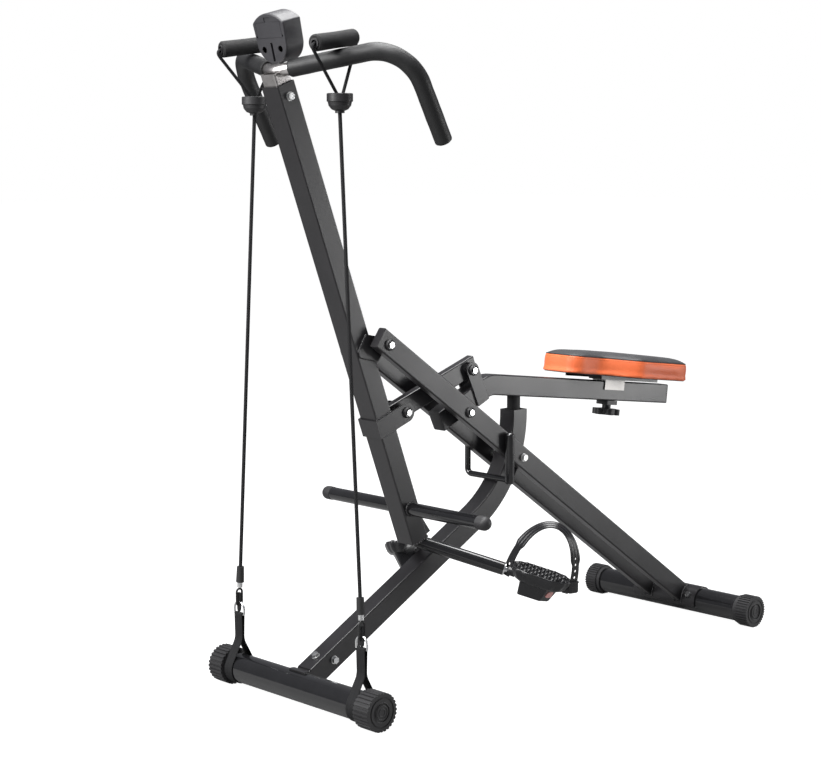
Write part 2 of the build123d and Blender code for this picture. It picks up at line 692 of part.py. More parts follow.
cup_outline = Polyline(
    (0, 0),
    (9, 0),
    (9, 4),
    (16, 7),
    (21.5, 14),
    (23, 21),
    (25, 22),
    (25, cup_height - 1),
    (24, cup_height),
    (0, cup_height),
    close=True,
)
cup_face = make_face(Plane.XZ * cup_outline)
cup = revolve(cup_face, Axis.Z)
cup_top = rope_head + Vector(0, 0, cup_height)
cup = Pos(rope_head.X, rope_head.Y, rope_head.Z) * cup
parts["pull_cups"] = Compound(children=both(cup))
near_and_far("rope", rope - cup)

bar_at_grip = bar_centre + handle_run * (rope_head_y / abs(handle_run.Y))
grip_middle = bar_at_grip + Vector(-14, 0, foam_radius + pull_radius - 0.8)
grip_run = Vector(cos(radians(12)), sin(radians(12)), 0.14).normalized()
grip_front = grip_middle - grip_run * (pull_length / 2)
grip_back = grip_middle + grip_run * (pull_length / 2)
core_radius = 9.5
core_bore = 6.0
near_and_far("pull_foam", bar(grip_front, grip_back, pull_radius, core_radius))
core = bar(grip_front - grip_run * 2, grip_back + grip_run * 2, core_radius, core_bore)
parts["pull_cores"] = Compound(children=both(core))
cord_radius = 3.2
cord_path = FilletPolyline(
    cup_top + Vector(-8, 0, 0),
    grip_front - grip_run * 14,
    grip_back + grip_run * 14,
    cup_top + Vector(8, 0, 0),
    radius=[7, 7],
)
cord = sweep(Plane(origin=cord_path @ 0, z_dir=cord_path % 0) * Circle(cord_radius), path=cord_path)
cord -= cup
near_and_far("pull_cord", cord)
print("rope length", round((rope_head - rope_start).length, 1))
print("pull cord length", round(cord_path.length, 1), "fold radii 7 and 7")

# ---- rocker, ears and seat beam ----
rocker_start = seat_pivot - rocker_run * rocker_front
rocker = square_tube(Line(rocker_start, rocker_end), seat_width)
rocker += pin(seat_pivot, 11, seat_width / 2)
rocker -= pin(seat_pivot, bolt_radius + bolt_gap, 100)
parts["rocker_tube"] = rocker

ear_points = [
    rocker_end - rocker_up * (tube_depth / 2),
    rocker_end + rocker_up * ear_height,
    rocker_end + rocker_up * ear_height - rocker_run * (2 * ear_half),
    rocker_end - rocker_up * (tube_depth / 2) - rocker_run * (2 * ear_half),
]
ear = slab(ear_points, -seat_width / 2 - ear_plate, -seat_width / 2)
ear += bar(
    link_pin_rear - Vector(0, seat_width / 2 + ear_plate, 0), link_pin_rear - Vector(0, seat_width / 2, 0), ear_half
)
ear -= pin(link_pin_rear, bolt_radius + bolt_gap, 100)
parts["rocker_ears"] = Compound(children=both(ear))
ear_spacer = bar(
    link_pin_rear - Vector(0, seat_width / 2, 0),
    link_pin_rear - Vector(0, link_width / 2 + side_gap, 0),
    11,
    bolt_radius + bolt_gap,
)
parts["link_bolt"] = Compound(children=cross_bolt(link_pin_rear, seat_width / 2 + ear_plate) + both(ear_spacer))

seat_path = FilletPolyline(rocker_end, seat_corner, seat_end, radius=seat_beam_bend)
seat_beam = square_tube(seat_path, seat_width)
slider_middle = seat_corner + seat_run * slider_along
stud_radius = 4.9
slot_half = 5.6
slot_points = [
    slider_middle - seat_run * (slide_front + slot_half) + seat_up * 60,
    slider_middle + seat_run * (slide_back + slot_half) + seat_up * 60,
    slider_middle + seat_run * (slide_back + slot_half) - seat_up * 60,
    slider_middle - seat_run * (slide_front + slot_half) - seat_up * 60,
]
seat_beam -= slab(slot_points, -slot_half, slot_half)
parts["seat_beam"] = seat_beam
plug_plane = Plane(origin=seat_end, x_dir=(0, 1, 0), z_dir=seat_run)
beam_plug = extrude(plug_plane * RectangleRounded(seat_width, tube_depth, tube_corner), 3)
plug_inner = RectangleRounded(seat_width - 2 * tube_wall - 0.4, tube_depth - 2 * tube_wall - 0.4, 1.2)
beam_plug += extrude(plug_plane * plug_inner, -16)
parts["seat_beam_plug"] = beam_plug

# ---- link between the mast and the rocker ----
link_run = (link_pin_rear - link_pin_front).normalized()
link_up = Vector(-link_run.Z, 0, link_run.X)
link_lift = 3.0
link_depth = 42.0
link_start = link_pin_front - link_run * link_front + link_up * link_lift
link_end = link_pin_rear + link_run * link_back + link_up * link_lift
link = square_tube(Line(link_start, link_end), link_width, depth=link_depth)
link += pin(link_pin_front, 10, link_width / 2) + pin(link_pin_rear, 13, link_width / 2)
link -= pin(link_pin_front, bolt_radius + bolt_gap, 100)
link -= pin(link_pin_rear, link_hole, 100)
parts["link_bar"] = link

# ---- seat slider, clamp knob, bracket and pad ----
beam_half = tube_depth / 2
saddle_skin_top = 2.5
slide_gap = 0.4
saddle_length = 68.0
saddle_flange = 20.0


def seat_box(along, across_y, low, high, length, width):
    middle_of_base = slider_middle + seat_run * along + seat_up * low + Vector(0, across_y, 0)
    plane = Plane(origin=middle_of_base, x_dir=seat_run, z_dir=seat_up)
    return extrude(plane * Rectangle(length, width), high - low)


saddle_top = beam_half + slide_gap + saddle_skin_top
saddle_width = seat_width + 2 * (slide_gap + saddle_skin_top)
seat_saddle = seat_box(0, 0, beam_half - saddle_flange, saddle_top, saddle_length, saddle_width)
seat_saddle -= seat_box(0, 0, 0, beam_half + slide_gap, 2 * saddle_length, seat_width + 2 * slide_gap)
stud_hole = bar(slider_middle - seat_up * 80, slider_middle + seat_up * 80, stud_radius + bolt_gap)

bracket_top = saddle_top + bracket_height
bracket = seat_box(0, 0, saddle_top, bracket_top - 3, 96, 40)
bracket += seat_box(10, 0, bracket_top - 3, bracket_top, 200, 110)
for side in (-1, 1):
    bracket += seat_box(10, side * 53.5, bracket_top - 9, bracket_top, 200, 3)
parts["seat_bracket"] = bracket - stud_hole

pad_front = pad_front_x - slider_middle.X
pad_plane = Plane(origin=slider_middle + seat_run * pad_front + seat_up * bracket_top, x_dir=seat_run, z_dir=seat_up)
waist = 92.0
flare = 158.0


def pad_outline(inset):
    half_nose = nose_width / 2 - inset
    half_pad = pad_width / 2 - inset
    face = make_face(
        Polyline(
            (inset, -half_nose),
            (waist, -half_nose),
            (flare, -half_pad),
            (pad_length - inset, -half_pad),
            (pad_length - inset, half_pad),
            (flare, half_pad),
            (waist, half_nose),
            (inset, half_nose),
            close=True,
        )
    )
    return fillet(face.vertices(), 38 - inset)


parts["seat_board"] = extrude(pad_plane * pad_outline(4), board_height) - stud_hole
pad = extrude(pad_plane.offset(board_height) * pad_outline(0), pad_height)
pad_top = pad.faces().sort_by(Axis.Z)[-1]
parts["seat_pad"] = fillet(pad_top.edges(), 9)

knob_top = beam_half + side_gap + 10
knob_middle = slider_middle - seat_up * knob_top
knob_plane = Plane(origin=knob_middle, x_dir=seat_run, z_dir=seat_up * -1)
knob = extrude(knob_plane * Circle(10), 9)
lobes = Circle(knob_radius * 0.76)
for turn in range(6):
    lobes += Rot(0, 0, turn * 60) * Pos(knob_radius * 0.72, 0) * Circle(knob_radius * 0.28)
knob += extrude(knob_plane.offset(9) * lobes, 14)
stud = bar(knob_middle, slider_middle + seat_up * (bracket_top + board_height - 1), stud_radius)
parts["clamp_knob"] = knob + stud
washer = seat_box(0, 0, -knob_top + side_gap, -beam_half - slide_gap, 34, 34)
parts["slider_plates"] = Compound(children=[seat_saddle - stud_hole, washer - stud_hole])

# ---- the origin is on the floor under the middle of the whole machine ----
boxes = [shape.bounding_box() for shape in parts.values()]
rearmost = max(box.max.X for box in boxes)
foremost = min(box.min.X for box in boxes)
middle = (rearmost + foremost) / 2
os.makedirs("parts", exist_ok=True)
for name, shape in parts.items():
    placed = Pos(-middle, 0, 0) * shape
    export_step(placed, "parts/" + name + ".step")
highest = max(box.max.Z for box in boxes)
widest = max(box.max.Y for box in boxes) * 2
print(len(parts), "nodes, size", round(rearmost - foremost), round(widest), round(highest), "middle", round(middle, 2))
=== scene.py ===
import json
import math
import bpy
import numpy as np
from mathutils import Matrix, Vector
from mathutils.bvhtree import BVHTree


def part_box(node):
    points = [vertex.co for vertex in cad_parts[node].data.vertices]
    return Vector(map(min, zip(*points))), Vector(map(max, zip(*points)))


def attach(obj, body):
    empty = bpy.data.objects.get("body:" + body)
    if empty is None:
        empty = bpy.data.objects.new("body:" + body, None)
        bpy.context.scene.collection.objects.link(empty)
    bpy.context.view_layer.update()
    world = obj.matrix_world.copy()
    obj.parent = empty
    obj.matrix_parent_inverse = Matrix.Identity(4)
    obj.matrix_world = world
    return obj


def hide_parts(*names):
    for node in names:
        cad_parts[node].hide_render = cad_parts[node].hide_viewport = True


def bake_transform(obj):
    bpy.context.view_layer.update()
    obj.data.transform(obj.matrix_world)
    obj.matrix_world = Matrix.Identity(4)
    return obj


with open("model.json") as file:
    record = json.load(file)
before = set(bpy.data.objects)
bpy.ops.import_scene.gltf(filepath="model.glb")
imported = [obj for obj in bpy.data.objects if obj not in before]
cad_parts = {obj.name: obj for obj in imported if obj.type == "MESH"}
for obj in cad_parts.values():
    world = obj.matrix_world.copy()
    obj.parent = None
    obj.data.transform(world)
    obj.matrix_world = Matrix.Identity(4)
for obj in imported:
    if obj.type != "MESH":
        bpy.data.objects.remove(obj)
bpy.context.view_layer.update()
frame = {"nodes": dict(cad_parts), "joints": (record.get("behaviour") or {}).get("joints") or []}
joints = {joint["name"]: joint for joint in frame["joints"]}
print("frame loaded,", len(frame["nodes"]), "nodes")


# small helpers: everything is worked out in metres, in the machine's own frame

def unit(v):
    v = np.asarray(v, float)
    return v / np.linalg.norm(v)


def pivotOf(joint):
    return np.array(joints[joint]["pos_m"], float)


def middleOf(node):
    low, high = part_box(node)
    return (np.array(low) + np.array(high)) / 2


def heading(angle):
    # unit direction in the side plane, an angle in degrees above the rear-pointing level
    return np.array([math.cos(math.radians(angle)), 0, math.sin(math.radians(angle))])


def flipSide(points):
    # the same points on the machine's other side
    return np.asarray(points, float) * [1, -1, 1]


sidesOf = {"near": lambda points: np.asarray(points, float), "far": flipSide}
crossWay = np.array([0.0, 1.0, 0.0])
mastPivot = pivotOf("mast_swing")
mastUp = heading(90 + 20.7)
mastBack = heading(20.7)
seatUp = unit(joints["clamp_turn"]["axis"])
seatRun = unit(joints["seat_slide"]["axis"])


# the camera

cameraSet = {"place": (-2.8792, -2.801, 1.089), "yaw": 43.04, "pitch": -6.99, "lens": 80.99}


def makeCamera(s):
    yaw, pitch = math.radians(s["yaw"]), math.radians(s["pitch"])
    look = Vector((math.sin(yaw) * math.cos(pitch), math.cos(yaw) * math.cos(pitch), math.sin(pitch)))
    data = bpy.data.cameras.new("studioCamera")
    data.lens = s["lens"]
    camera = bpy.data.objects.new("studioCamera", data)
    bpy.context.scene.collection.objects.link(camera)
    camera.location = s["place"]
    camera.rotation_mode = "QUATERNION"
    camera.rotation_quaternion = look.to_track_quat("-Z", "Y")
    bpy.context.scene.camera = camera


makeCamera(cameraSet)


# helpers that build meshes

def linkMesh(name, points, faces, uv=None, sharpness=40):
    # one mesh from whole arrays; if its signed volume is negative, every face is turned round
    points = np.asarray(points, float)
    corners = [np.asarray(f, int) for f in faces if len(f)]
    volume = 0.0
    for f in corners:
        a = points[f[:, 0]]
        for k in range(1, f.shape[1] - 1):
            volume += np.einsum("ij,ij->", a, np.cross(points[f[:, k]], points[f[:, k + 1]]))
    if volume < 0:
        corners = [f[:, ::-1] for f in corners]
        uv = None if uv is None else [u[:, ::-1] for u in uv]
    mesh = bpy.data.meshes.new(name)
    mesh.from_pydata(points.tolist(), [], [row for f in corners for row in f.tolist()])
    if uv is not None:
        layer = mesh.uv_layers.new(name="UVMap")
        flat = np.concatenate([np.asarray(u, float).reshape(-1, 2) for u in uv])
        layer.data.foreach_set("uv", flat.astype(np.float32).ravel())
    mesh.shade_smooth()
    mesh.set_sharp_from_angle(angle=math.radians(sharpness))
    mesh.update()
    piece = bpy.data.objects.new(name, mesh)
    bpy.context.scene.collection.objects.link(piece)
    return piece


def gridFaces(grid, along, loop=False, base=0, start=0.0):
    # quads between neighbouring rings, and a fan to a middle point at each end unless the rings close up
    rows, cols = grid.shape[:2]
    last = rows if loop else rows - 1
    i = np.arange(last)[:, None]
    j = np.arange(cols)[None, :]
    nextI = (i + 1) % rows
    nextJ = (j + 1) % cols
    ring = np.stack(np.broadcast_arrays(i * cols + j, i * cols + nextJ, nextI * cols + nextJ, nextI * cols + j), -1)
    quads = ring.reshape(-1, 4) + base
    points = grid.reshape(-1, 3)
    v = np.append(along, along[-1] + (along[-1] - along[-2])) if loop else along
    u0 = np.broadcast_to(j / cols, (last, cols))
    u1 = np.broadcast_to((j + 1) / cols, (last, cols))
    v0 = np.broadcast_to(v[:last, None], (last, cols)) + start
    v1 = np.broadcast_to(v[1:last + 1, None], (last, cols)) + start
    quadUv = np.stack([np.stack([u0, v0], -1), np.stack([u1, v0], -1), np.stack([u1, v1], -1), np.stack([u0, v1], -1)], 2)
    quadUv = quadUv.reshape(-1, 4, 2)
    if loop:
        return points, quads, np.zeros((0, 3), int), quadUv, np.zeros((0, 3, 2))
    j = np.arange(cols)
    tail = len(points)
    points = np.vstack([points, grid[0].mean(0), grid[-1].mean(0)])
    first = np.stack([(j + 1) % cols, j, np.full(cols, tail)], -1)
    end = np.stack([(rows - 1) * cols + j, (rows - 1) * cols + (j + 1) % cols, np.full(cols, tail + 1)], -1)
    fans = np.vstack([first, end]) + base
    level = np.concatenate([np.full(cols, v[0]), np.full(cols, v[-1])]) + start
    share = np.tile(j / cols, 2)
    fanUv = np.stack([np.stack([share, level], -1)] * 3, 1)
    return points, quads, fans, quadUv, fanUv


def skin(name, grids, alongs=None, loop=False, sharpness=40):
    # one piece from one or more grids of rings, each grid closed into a solid of its own
    grids = grids if isinstance(grids, list) else [grids]
    points, quads, fans, quadUv, fanUv = [], [], [], [], []
    base = 0
    for k, grid in enumerate(grids):
        if alongs is None:
            steps = np.linalg.norm(np.diff(grid.mean(1), axis=0), axis=1)
            along = np.append(0, np.cumsum(steps))
        else:
            along = alongs[k]
        p, q, f, qu, fu = gridFaces(grid, along, loop, base)
        points.append(p)
        quads.append(q)
        fans.append(f)
        quadUv.append(qu)
        fanUv.append(fu)
        base += len(p)
    faces = [np.vstack(quads), np.vstack(fans)]
    return linkMesh(name, np.vstack(points), faces, [np.vstack(quadUv), np.vstack(fanUv)], sharpness)


def carried(path, profile, side, size=None):
    # each ring is the profile's two numbers laid along the path's side way and its cross way, times the size there
    path = np.asarray(path, float)
    way = np.gradient(path, axis=0)
    way /= np.linalg.norm(way, axis=1)[:, None]
    side = np.broadcast_to(np.asarray(side, float), path.shape)
    across = side - np.einsum("ij,ij->i", side, way)[:, None] * way
    across /= np.linalg.norm(across, axis=1)[:, None]
    rise = np.cross(way, across)
    size = np.ones((len(path), 2)) if size is None else np.asarray(size, float).reshape(len(path), -1) * np.ones((1, 2))
    wide = profile[None, :, 0, None] * size[:, 0, None, None] * across[:, None, :]
    tall = profile[None, :, 1, None] * size[:, 1, None, None] * rise[:, None, :]
    return path[:, None, :] + wide + tall


def roundProfile(radius, count=32):
    # a circle: cosine and sine of an even turn
    turn = np.arange(count) / count * 2 * np.pi
    return np.stack([np.cos(turn), np.sin(turn)], -1) * radius


def softBox(width, height, power=5.0, count=40):
    # a superellipse: the signed root of cosine and sine, so the corners stay full
    turn = (np.arange(count) + 0.5) / count * 2 * np.pi
    c, s = np.cos(turn), np.sin(turn)
    x = np.sign(c) * np.abs(c) ** (2 / power) * width / 2
    y = np.sign(s) * np.abs(s) ** (2 / power) * height / 2
    return np.stack([x, y], -1)


def bentPath(corners, radii, step):
    # straight runs with a round arc inside each corner, then points spaced evenly along it
    corners = [np.asarray(c, float) for c in corners]
    marks = [corners[0]]
    for k, radius in enumerate(radii, 1):
        back, on = unit(corners[k - 1] - corners[k]), unit(corners[k + 1] - corners[k])
        half = math.acos(np.clip(back @ on, -1, 1)) / 2
        centre = corners[k] + unit(back + on) * radius / math.sin(half)
        reach = radius / math.tan(half)
        a, b = corners[k] + back * reach - centre, corners[k] + on * reach - centre
        t = np.linspace(0, 1, 25)[:, None]
        swing = math.pi - 2 * half
        marks.append(centre + (a * np.sin((1 - t) * swing) + b * np.sin(t * swing)) / math.sin(swing))
    marks.append(corners[-1])
    line = np.vstack(marks)
    length = np.append(0, np.cumsum(np.linalg.norm(np.diff(line, axis=0), axis=1)))
    spots = np.linspace(0, length[-1], max(4, int(length[-1] / step)))
    return np.stack([np.interp(spots, length, line[:, k]) for k in range(3)], -1)


def roundedEnds(path, radius):
    # size that follows a quarter circle over the last stretch at both ends
    length = np.append(0, np.cumsum(np.linalg.norm(np.diff(path, axis=0), axis=1)))
    near = np.clip(np.minimum(length, length[-1] - length) / radius, 0, 1)
    return 0.55 + 0.45 * np.sqrt(1 - (1 - near) ** 2)


def turned(origin, axis, profile, count=40):
    # a profile of (distance along the axis, radius) pairs turned round the axis
    axis = unit(axis)
    side = unit(np.cross(axis, [0.3, 0.9, 0.2]))
    rise = np.cross(axis, side)
    turn = np.arange(count) / count * 2 * np.pi
    ring = np.cos(turn)[:, None] * side + np.sin(turn)[:, None] * rise
    profile = np.asarray(profile, float)
    return np.asarray(origin) + profile[:, 0, None, None] * axis + profile[:, 1, None, None] * ring[None]


def dressed(piece, material, body, slot, *nodes):
    # gives a piece its material and its body, and hides the CAD nodes that it stands for; the slot argument is not used
    piece.data.materials.clear()
    piece.data.materials.append(material)
    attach(piece, body)
    if nodes:
        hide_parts(*nodes)
    return piece


# shader groups, then one material for each finish

def newGroup(name, inputs, outputs):
    group = bpy.data.node_groups.new(name, "ShaderNodeTree")
    for label, kind, value in inputs:
        socket = group.interface.new_socket(label, in_out="INPUT", socket_type=kind)
        if value is not None:
            socket.default_value = value
    for label, kind in outputs:
        group.interface.new_socket(label, in_out="OUTPUT", socket_type=kind)
    return group, group.nodes.new("NodeGroupInput"), group.nodes.new("NodeGroupOutput")


def mathNode(tree, operation, a, b=None):
    node = tree.nodes.new("ShaderNodeMath")
    node.operation = operation
    for socket, value in zip(node.inputs, (a, b)):
        if value is None:
            continue
        if isinstance(value, (int, float)):
            socket.default_value = value
        else:
            tree.links.new(value, socket)
    return node.outputs[0]


def grainGroup():
    # a fine grain and a slow, soft blotch, both from noise at the given scales
    group, enter, leave = newGroup(
        "mouldGrain",
        [("Vector", "NodeSocketVector", None), ("Grain Scale", "NodeSocketFloat", 900.0),
         ("Blotch Scale", "NodeSocketFloat", 9.0)],
        [("Grain", "NodeSocketFloat"), ("Blotch", "NodeSocketFloat")],
    )
    for label, detail in (("Grain", 3.0), ("Blotch", 6.0)):
        noise = group.nodes.new("ShaderNodeTexNoise")
        noise.inputs["Detail"].default_value = detail
        noise.inputs["Roughness"].default_value = 0.6
        group.links.new(enter.outputs["Vector"], noise.inputs["Vector"])
        group.links.new(enter.outputs[label + " Scale"], noise.inputs["Scale"])
        group.links.new(noise.outputs["Fac"], leave.inputs[label])
    return group


def cellGroup():
    # rounded cells with dark creases between them: pores in foam, or the grain of vinyl
    group, enter, leave = newGroup(
        "cellGrain",
        [("Vector", "NodeSocketVector", None), ("Scale", "NodeSocketFloat", 600.0), ("Crease", "NodeSocketFloat", 0.25)],
        [("Height", "NodeSocketFloat")],
    )
    cells = group.nodes.new("ShaderNodeTexVoronoi")
    cells.feature = "DISTANCE_TO_EDGE"
    group.links.new(enter.outputs["Vector"], cells.inputs["Vector"])
    group.links.new(enter.outputs["Scale"], cells.inputs["Scale"])
    ratio = mathNode(group, "DIVIDE", cells.outputs["Distance"], enter.outputs["Crease"])
    group.links.new(mathNode(group, "MINIMUM", ratio, 1.0), leave.inputs["Height"])
    return group


def braidGroup():
    # two sets of sine ridges that cross, the higher one on top: strands round a rope, or yarns in webbing
    group, enter, leave = newGroup(
        "crossYarns",
        [("Vector", "NodeSocketVector", None), ("Around", "NodeSocketFloat", 8.0), ("Along", "NodeSocketFloat", 300.0),
         ("Lean", "NodeSocketFloat", 1.0)],
        [("Height", "NodeSocketFloat")],
    )
    split = group.nodes.new("ShaderNodeSeparateXYZ")
    group.links.new(enter.outputs["Vector"], split.inputs[0])
    around = mathNode(group, "MULTIPLY", split.outputs[0], enter.outputs["Around"])
    along = mathNode(group, "MULTIPLY", split.outputs[1], enter.outputs["Along"])
    leaning = mathNode(group, "MULTIPLY", around, enter.outputs["Lean"])
    ridges = []
    for total in (mathNode(group, "ADD", leaning, along), mathNode(group, "SUBTRACT", around, along)):
        ridges.append(mathNode(group, "SINE", mathNode(group, "MULTIPLY", total, 2 * math.pi)))
    high = mathNode(group, "MAXIMUM", ridges[0], ridges[1])
    half = mathNode(group, "MULTIPLY", high, 0.5)
    group.links.new(mathNode(group, "ADD", half, 0.5), leave.inputs["Height"])
    return group


groups = {"grain": grainGroup(), "cells": cellGroup(), "yarns": braidGroup()}


def placeGroup(tree, key, vector, **values):
    node = tree.nodes.new("ShaderNodeGroup")
    node.node_tree = groups[key]
    tree.links.new(vector, node.inputs["Vector"])
    for label, value in values.items():
        node.inputs[label.replace("_", " ")].default_value = value
    return node


def blendColours(tree, factor, dark, light):
    mix = tree.nodes.new("ShaderNodeMix")
    mix.data_type = "RGBA"
    for socket, colour in ((mix.inputs[6], dark), (mix.inputs[7], light)):
        if isinstance(colour, tuple):
            socket.default_value = (*colour, 1)
        else:
            tree.links.new(colour, socket)
    tree.links.new(factor, mix.inputs[0])
    return mix.outputs[2]


def rangeOf(tree, value, low, high, fromLow=0.3, fromHigh=0.7):
    node = tree.nodes.new("ShaderNodeMapRange")
    node.inputs["From Min"].default_value = fromLow
    node.inputs["From Max"].default_value = fromHigh
    node.inputs["To Min"].default_value = low
    node.inputs["To Max"].default_value = high
    tree.links.new(value, node.inputs["Value"])
    return node.outputs[0]


def startMaterial(name):
    material = bpy.data.materials.new(name)
    material.use_nodes = True
    tree = material.node_tree
    shader = tree.nodes["Principled BSDF"]
    place = tree.nodes.new("ShaderNodeTexCoord")
    return material, tree, shader, place


def addBump(tree, shader, height, strength, distance):
    bump = tree.nodes.new("ShaderNodeBump")
    bump.inputs["Strength"].default_value = strength
    bump.inputs["Distance"].default_value = distance
    tree.links.new(height, bump.inputs["Height"])
    tree.links.new(bump.outputs[0], shader.inputs["Normal"])


def grainFinish(name, dark, light, rough, grain=900.0, blotch=9.0, bump=0.15, depth=0.0002, metal=0.0, coat=0.0, coatRough=0.1):
    # a coated, moulded or plated surface: colour and gloss drift with the blotch, and the grain lifts it slightly
    material, tree, shader, place = startMaterial(name)
    node = placeGroup(tree, "grain", place.outputs["Object"], Grain_Scale=grain, Blotch_Scale=blotch)
    tree.links.new(blendColours(tree, rangeOf(tree, node.outputs["Blotch"], 0, 1), dark, light), shader.inputs["Base Color"])
    gloss = mathNode(tree, "ADD", rangeOf(tree, node.outputs["Blotch"], *rough),
                     rangeOf(tree, node.outputs["Grain"], -0.03, 0.03))
    tree.links.new(gloss, shader.inputs["Roughness"])
    shader.inputs["Metallic"].default_value = metal
    shader.inputs["Coat Weight"].default_value = coat
    shader.inputs["Coat Roughness"].default_value = coatRough
    addBump(tree, shader, node.outputs["Grain"], bump, depth)
    return material


def yarnFinish(name, dark, light, rough, around, along, lean, depth):
    # woven or braided yarn, laid out on the piece's own UV map, which runs round it and along it in metres
    material, tree, shader, place = startMaterial(name)
    yarns = placeGroup(tree, "yarns", place.outputs["UV"], Around=around, Along=along, Lean=lean)
    # the colour follows the yarn height: painted shade in the valleys between yarns, and a painted highlight on their
    # crests
    tree.links.new(blendColours(tree, yarns.outputs["Height"], dark, light), shader.inputs["Base Color"])
    tree.links.new(rangeOf(tree, yarns.outputs["Height"], *rough, 0, 1), shader.inputs["Roughness"])
    shader.inputs["Specular IOR Level"].default_value = 0.25
    addBump(tree, shader, yarns.outputs["Height"], 0.8, depth)
    return material


def foamFinish(name, dark, light, rough, bump):
    # closed-cell foam: fine pores, a dry surface, and slightly paler patches where hands have rubbed it
    material, tree, shader, place = startMaterial(name)
    pores = placeGroup(tree, "cells", place.outputs["Object"], Scale=1100.0, Crease=0.3)
    grain = placeGroup(tree, "grain", place.outputs["Object"], Grain_Scale=500.0, Blotch_Scale=14.0)
    tree.links.new(blendColours(tree, rangeOf(tree, grain.outputs["Blotch"], 0, 1), dark, light), shader.inputs["Base Color"])
    tree.links.new(rangeOf(tree, grain.outputs["Grain"], *rough), shader.inputs["Roughness"])
    addBump(tree, shader, mathNode(tree, "ADD", pores.outputs["Height"], grain.outputs["Grain"]), bump, 0.0004)
    return material


finishes = {
    "powder": grainFinish("powderBlack", (0.0095, 0.0090, 0.0100), (0.0150, 0.0140, 0.0155), (0.30, 0.40),
                          grain=1400.0, bump=0.14, depth=0.00025, coat=0.25, coatRough=0.22),
    "gloss": grainFinish("glossBlack", (0.0050, 0.0050, 0.0055), (0.0085, 0.0085, 0.0095), (0.14, 0.22), grain=500.0, bump=0.04,
                         depth=0.0002, coat=0.7, coatRough=0.05),
    "zinc": grainFinish("brightZinc", (0.62, 0.63, 0.65), (0.82, 0.82, 0.80), (0.20, 0.34), grain=1500.0, blotch=60.0, bump=0.10,
                        metal=1.0),
    "steel": grainFinish("drawnSteel", (0.44, 0.42, 0.41), (0.66, 0.64, 0.63), (0.24, 0.38),
                         grain=1200.0, blotch=35.0, metal=1.0),
    "cap": grainFinish("capPlastic", (0.014, 0.0135, 0.0145), (0.022, 0.0215, 0.023), (0.42, 0.55), grain=1600.0, bump=0.3,
                       depth=0.0003),
    "case": grainFinish("casePlastic", (0.030, 0.0295, 0.033), (0.042, 0.041, 0.045), (0.34, 0.44), grain=2000.0, bump=0.35,
                        depth=0.0003),
    "pedal": grainFinish("pedalPlastic", (0.0080, 0.0080, 0.0090), (0.0140, 0.0140, 0.0155), (0.24, 0.36),
                         grain=1300.0, bump=0.2),
    "rubber": grainFinish("stopRubber", (0.010, 0.010, 0.0105), (0.018, 0.0175, 0.018), (0.60, 0.75), grain=900.0, bump=0.3,
                          depth=0.0003),
    "board": grainFinish("seatBoard", (0.009, 0.0085, 0.0085), (0.018, 0.017, 0.016), (0.48, 0.62), grain=600.0, bump=0.4,
                         depth=0.0004),
    "thread": grainFinish("seatThread", (0.46, 0.09, 0.022), (0.58, 0.13, 0.035), (0.6, 0.7), grain=3000.0, blotch=200.0),
    "bead": grainFinish("paintedWeld", (0.012, 0.011, 0.0125), (0.026, 0.025, 0.027), (0.22, 0.34), grain=700.0, blotch=120.0,
                        bump=0.3, depth=0.0005, coat=0.4),
    "button": grainFinish("buttonRed", (0.42, 0.05, 0.03), (0.50, 0.07, 0.04), (0.25, 0.32), grain=1500.0, coat=0.3),
    "reflector": grainFinish("reflectorRed", (0.60, 0.20, 0.18), (0.80, 0.38, 0.35), (0.10, 0.20), grain=700.0, blotch=90.0,
                             bump=0.8, depth=0.0006, coat=0.8, coatRough=0.05),
    "rope": yarnFinish("ropeSheath", (0.004, 0.004, 0.0045), (0.014, 0.014, 0.015), (0.75, 0.6), 6.0, 150.0, 1.0, 0.0006),
    "webbing": yarnFinish("strapWeave", (0.004, 0.004, 0.0045), (0.013, 0.013, 0.014), (0.85, 0.7), 26.0, 420.0, 1.0, 0.0005),
    "foam": foamFinish("gripFoam", (0.0050, 0.0050, 0.0055), (0.0095, 0.0095, 0.0100), (0.72, 0.88), 0.45),
    "sleeve": foamFinish("handleFoam", (0.0050, 0.0050, 0.0055), (0.0085, 0.0085, 0.0090), (0.42, 0.54), 0.18),
}


def screenFinish():
    # a dim liquid-crystal window: grey-green field with soft blotches, under a clear gloss coat
    material, tree, shader, place = startMaterial("displayWindow")
    node = placeGroup(tree, "grain", place.outputs["Object"], Grain_Scale=2600.0, Blotch_Scale=40.0)
    tree.links.new(blendColours(tree, rangeOf(tree, node.outputs["Blotch"], 0, 1), (0.10, 0.125, 0.10), (0.15, 0.18, 0.14)),
                   shader.inputs["Base Color"])
    tree.links.new(rangeOf(tree, node.outputs["Grain"], 0.22, 0.34), shader.inputs["Roughness"])
    shader.inputs["Coat Weight"].default_value = 1.0
    shader.inputs["Coat Roughness"].default_value = 0.03
    return material


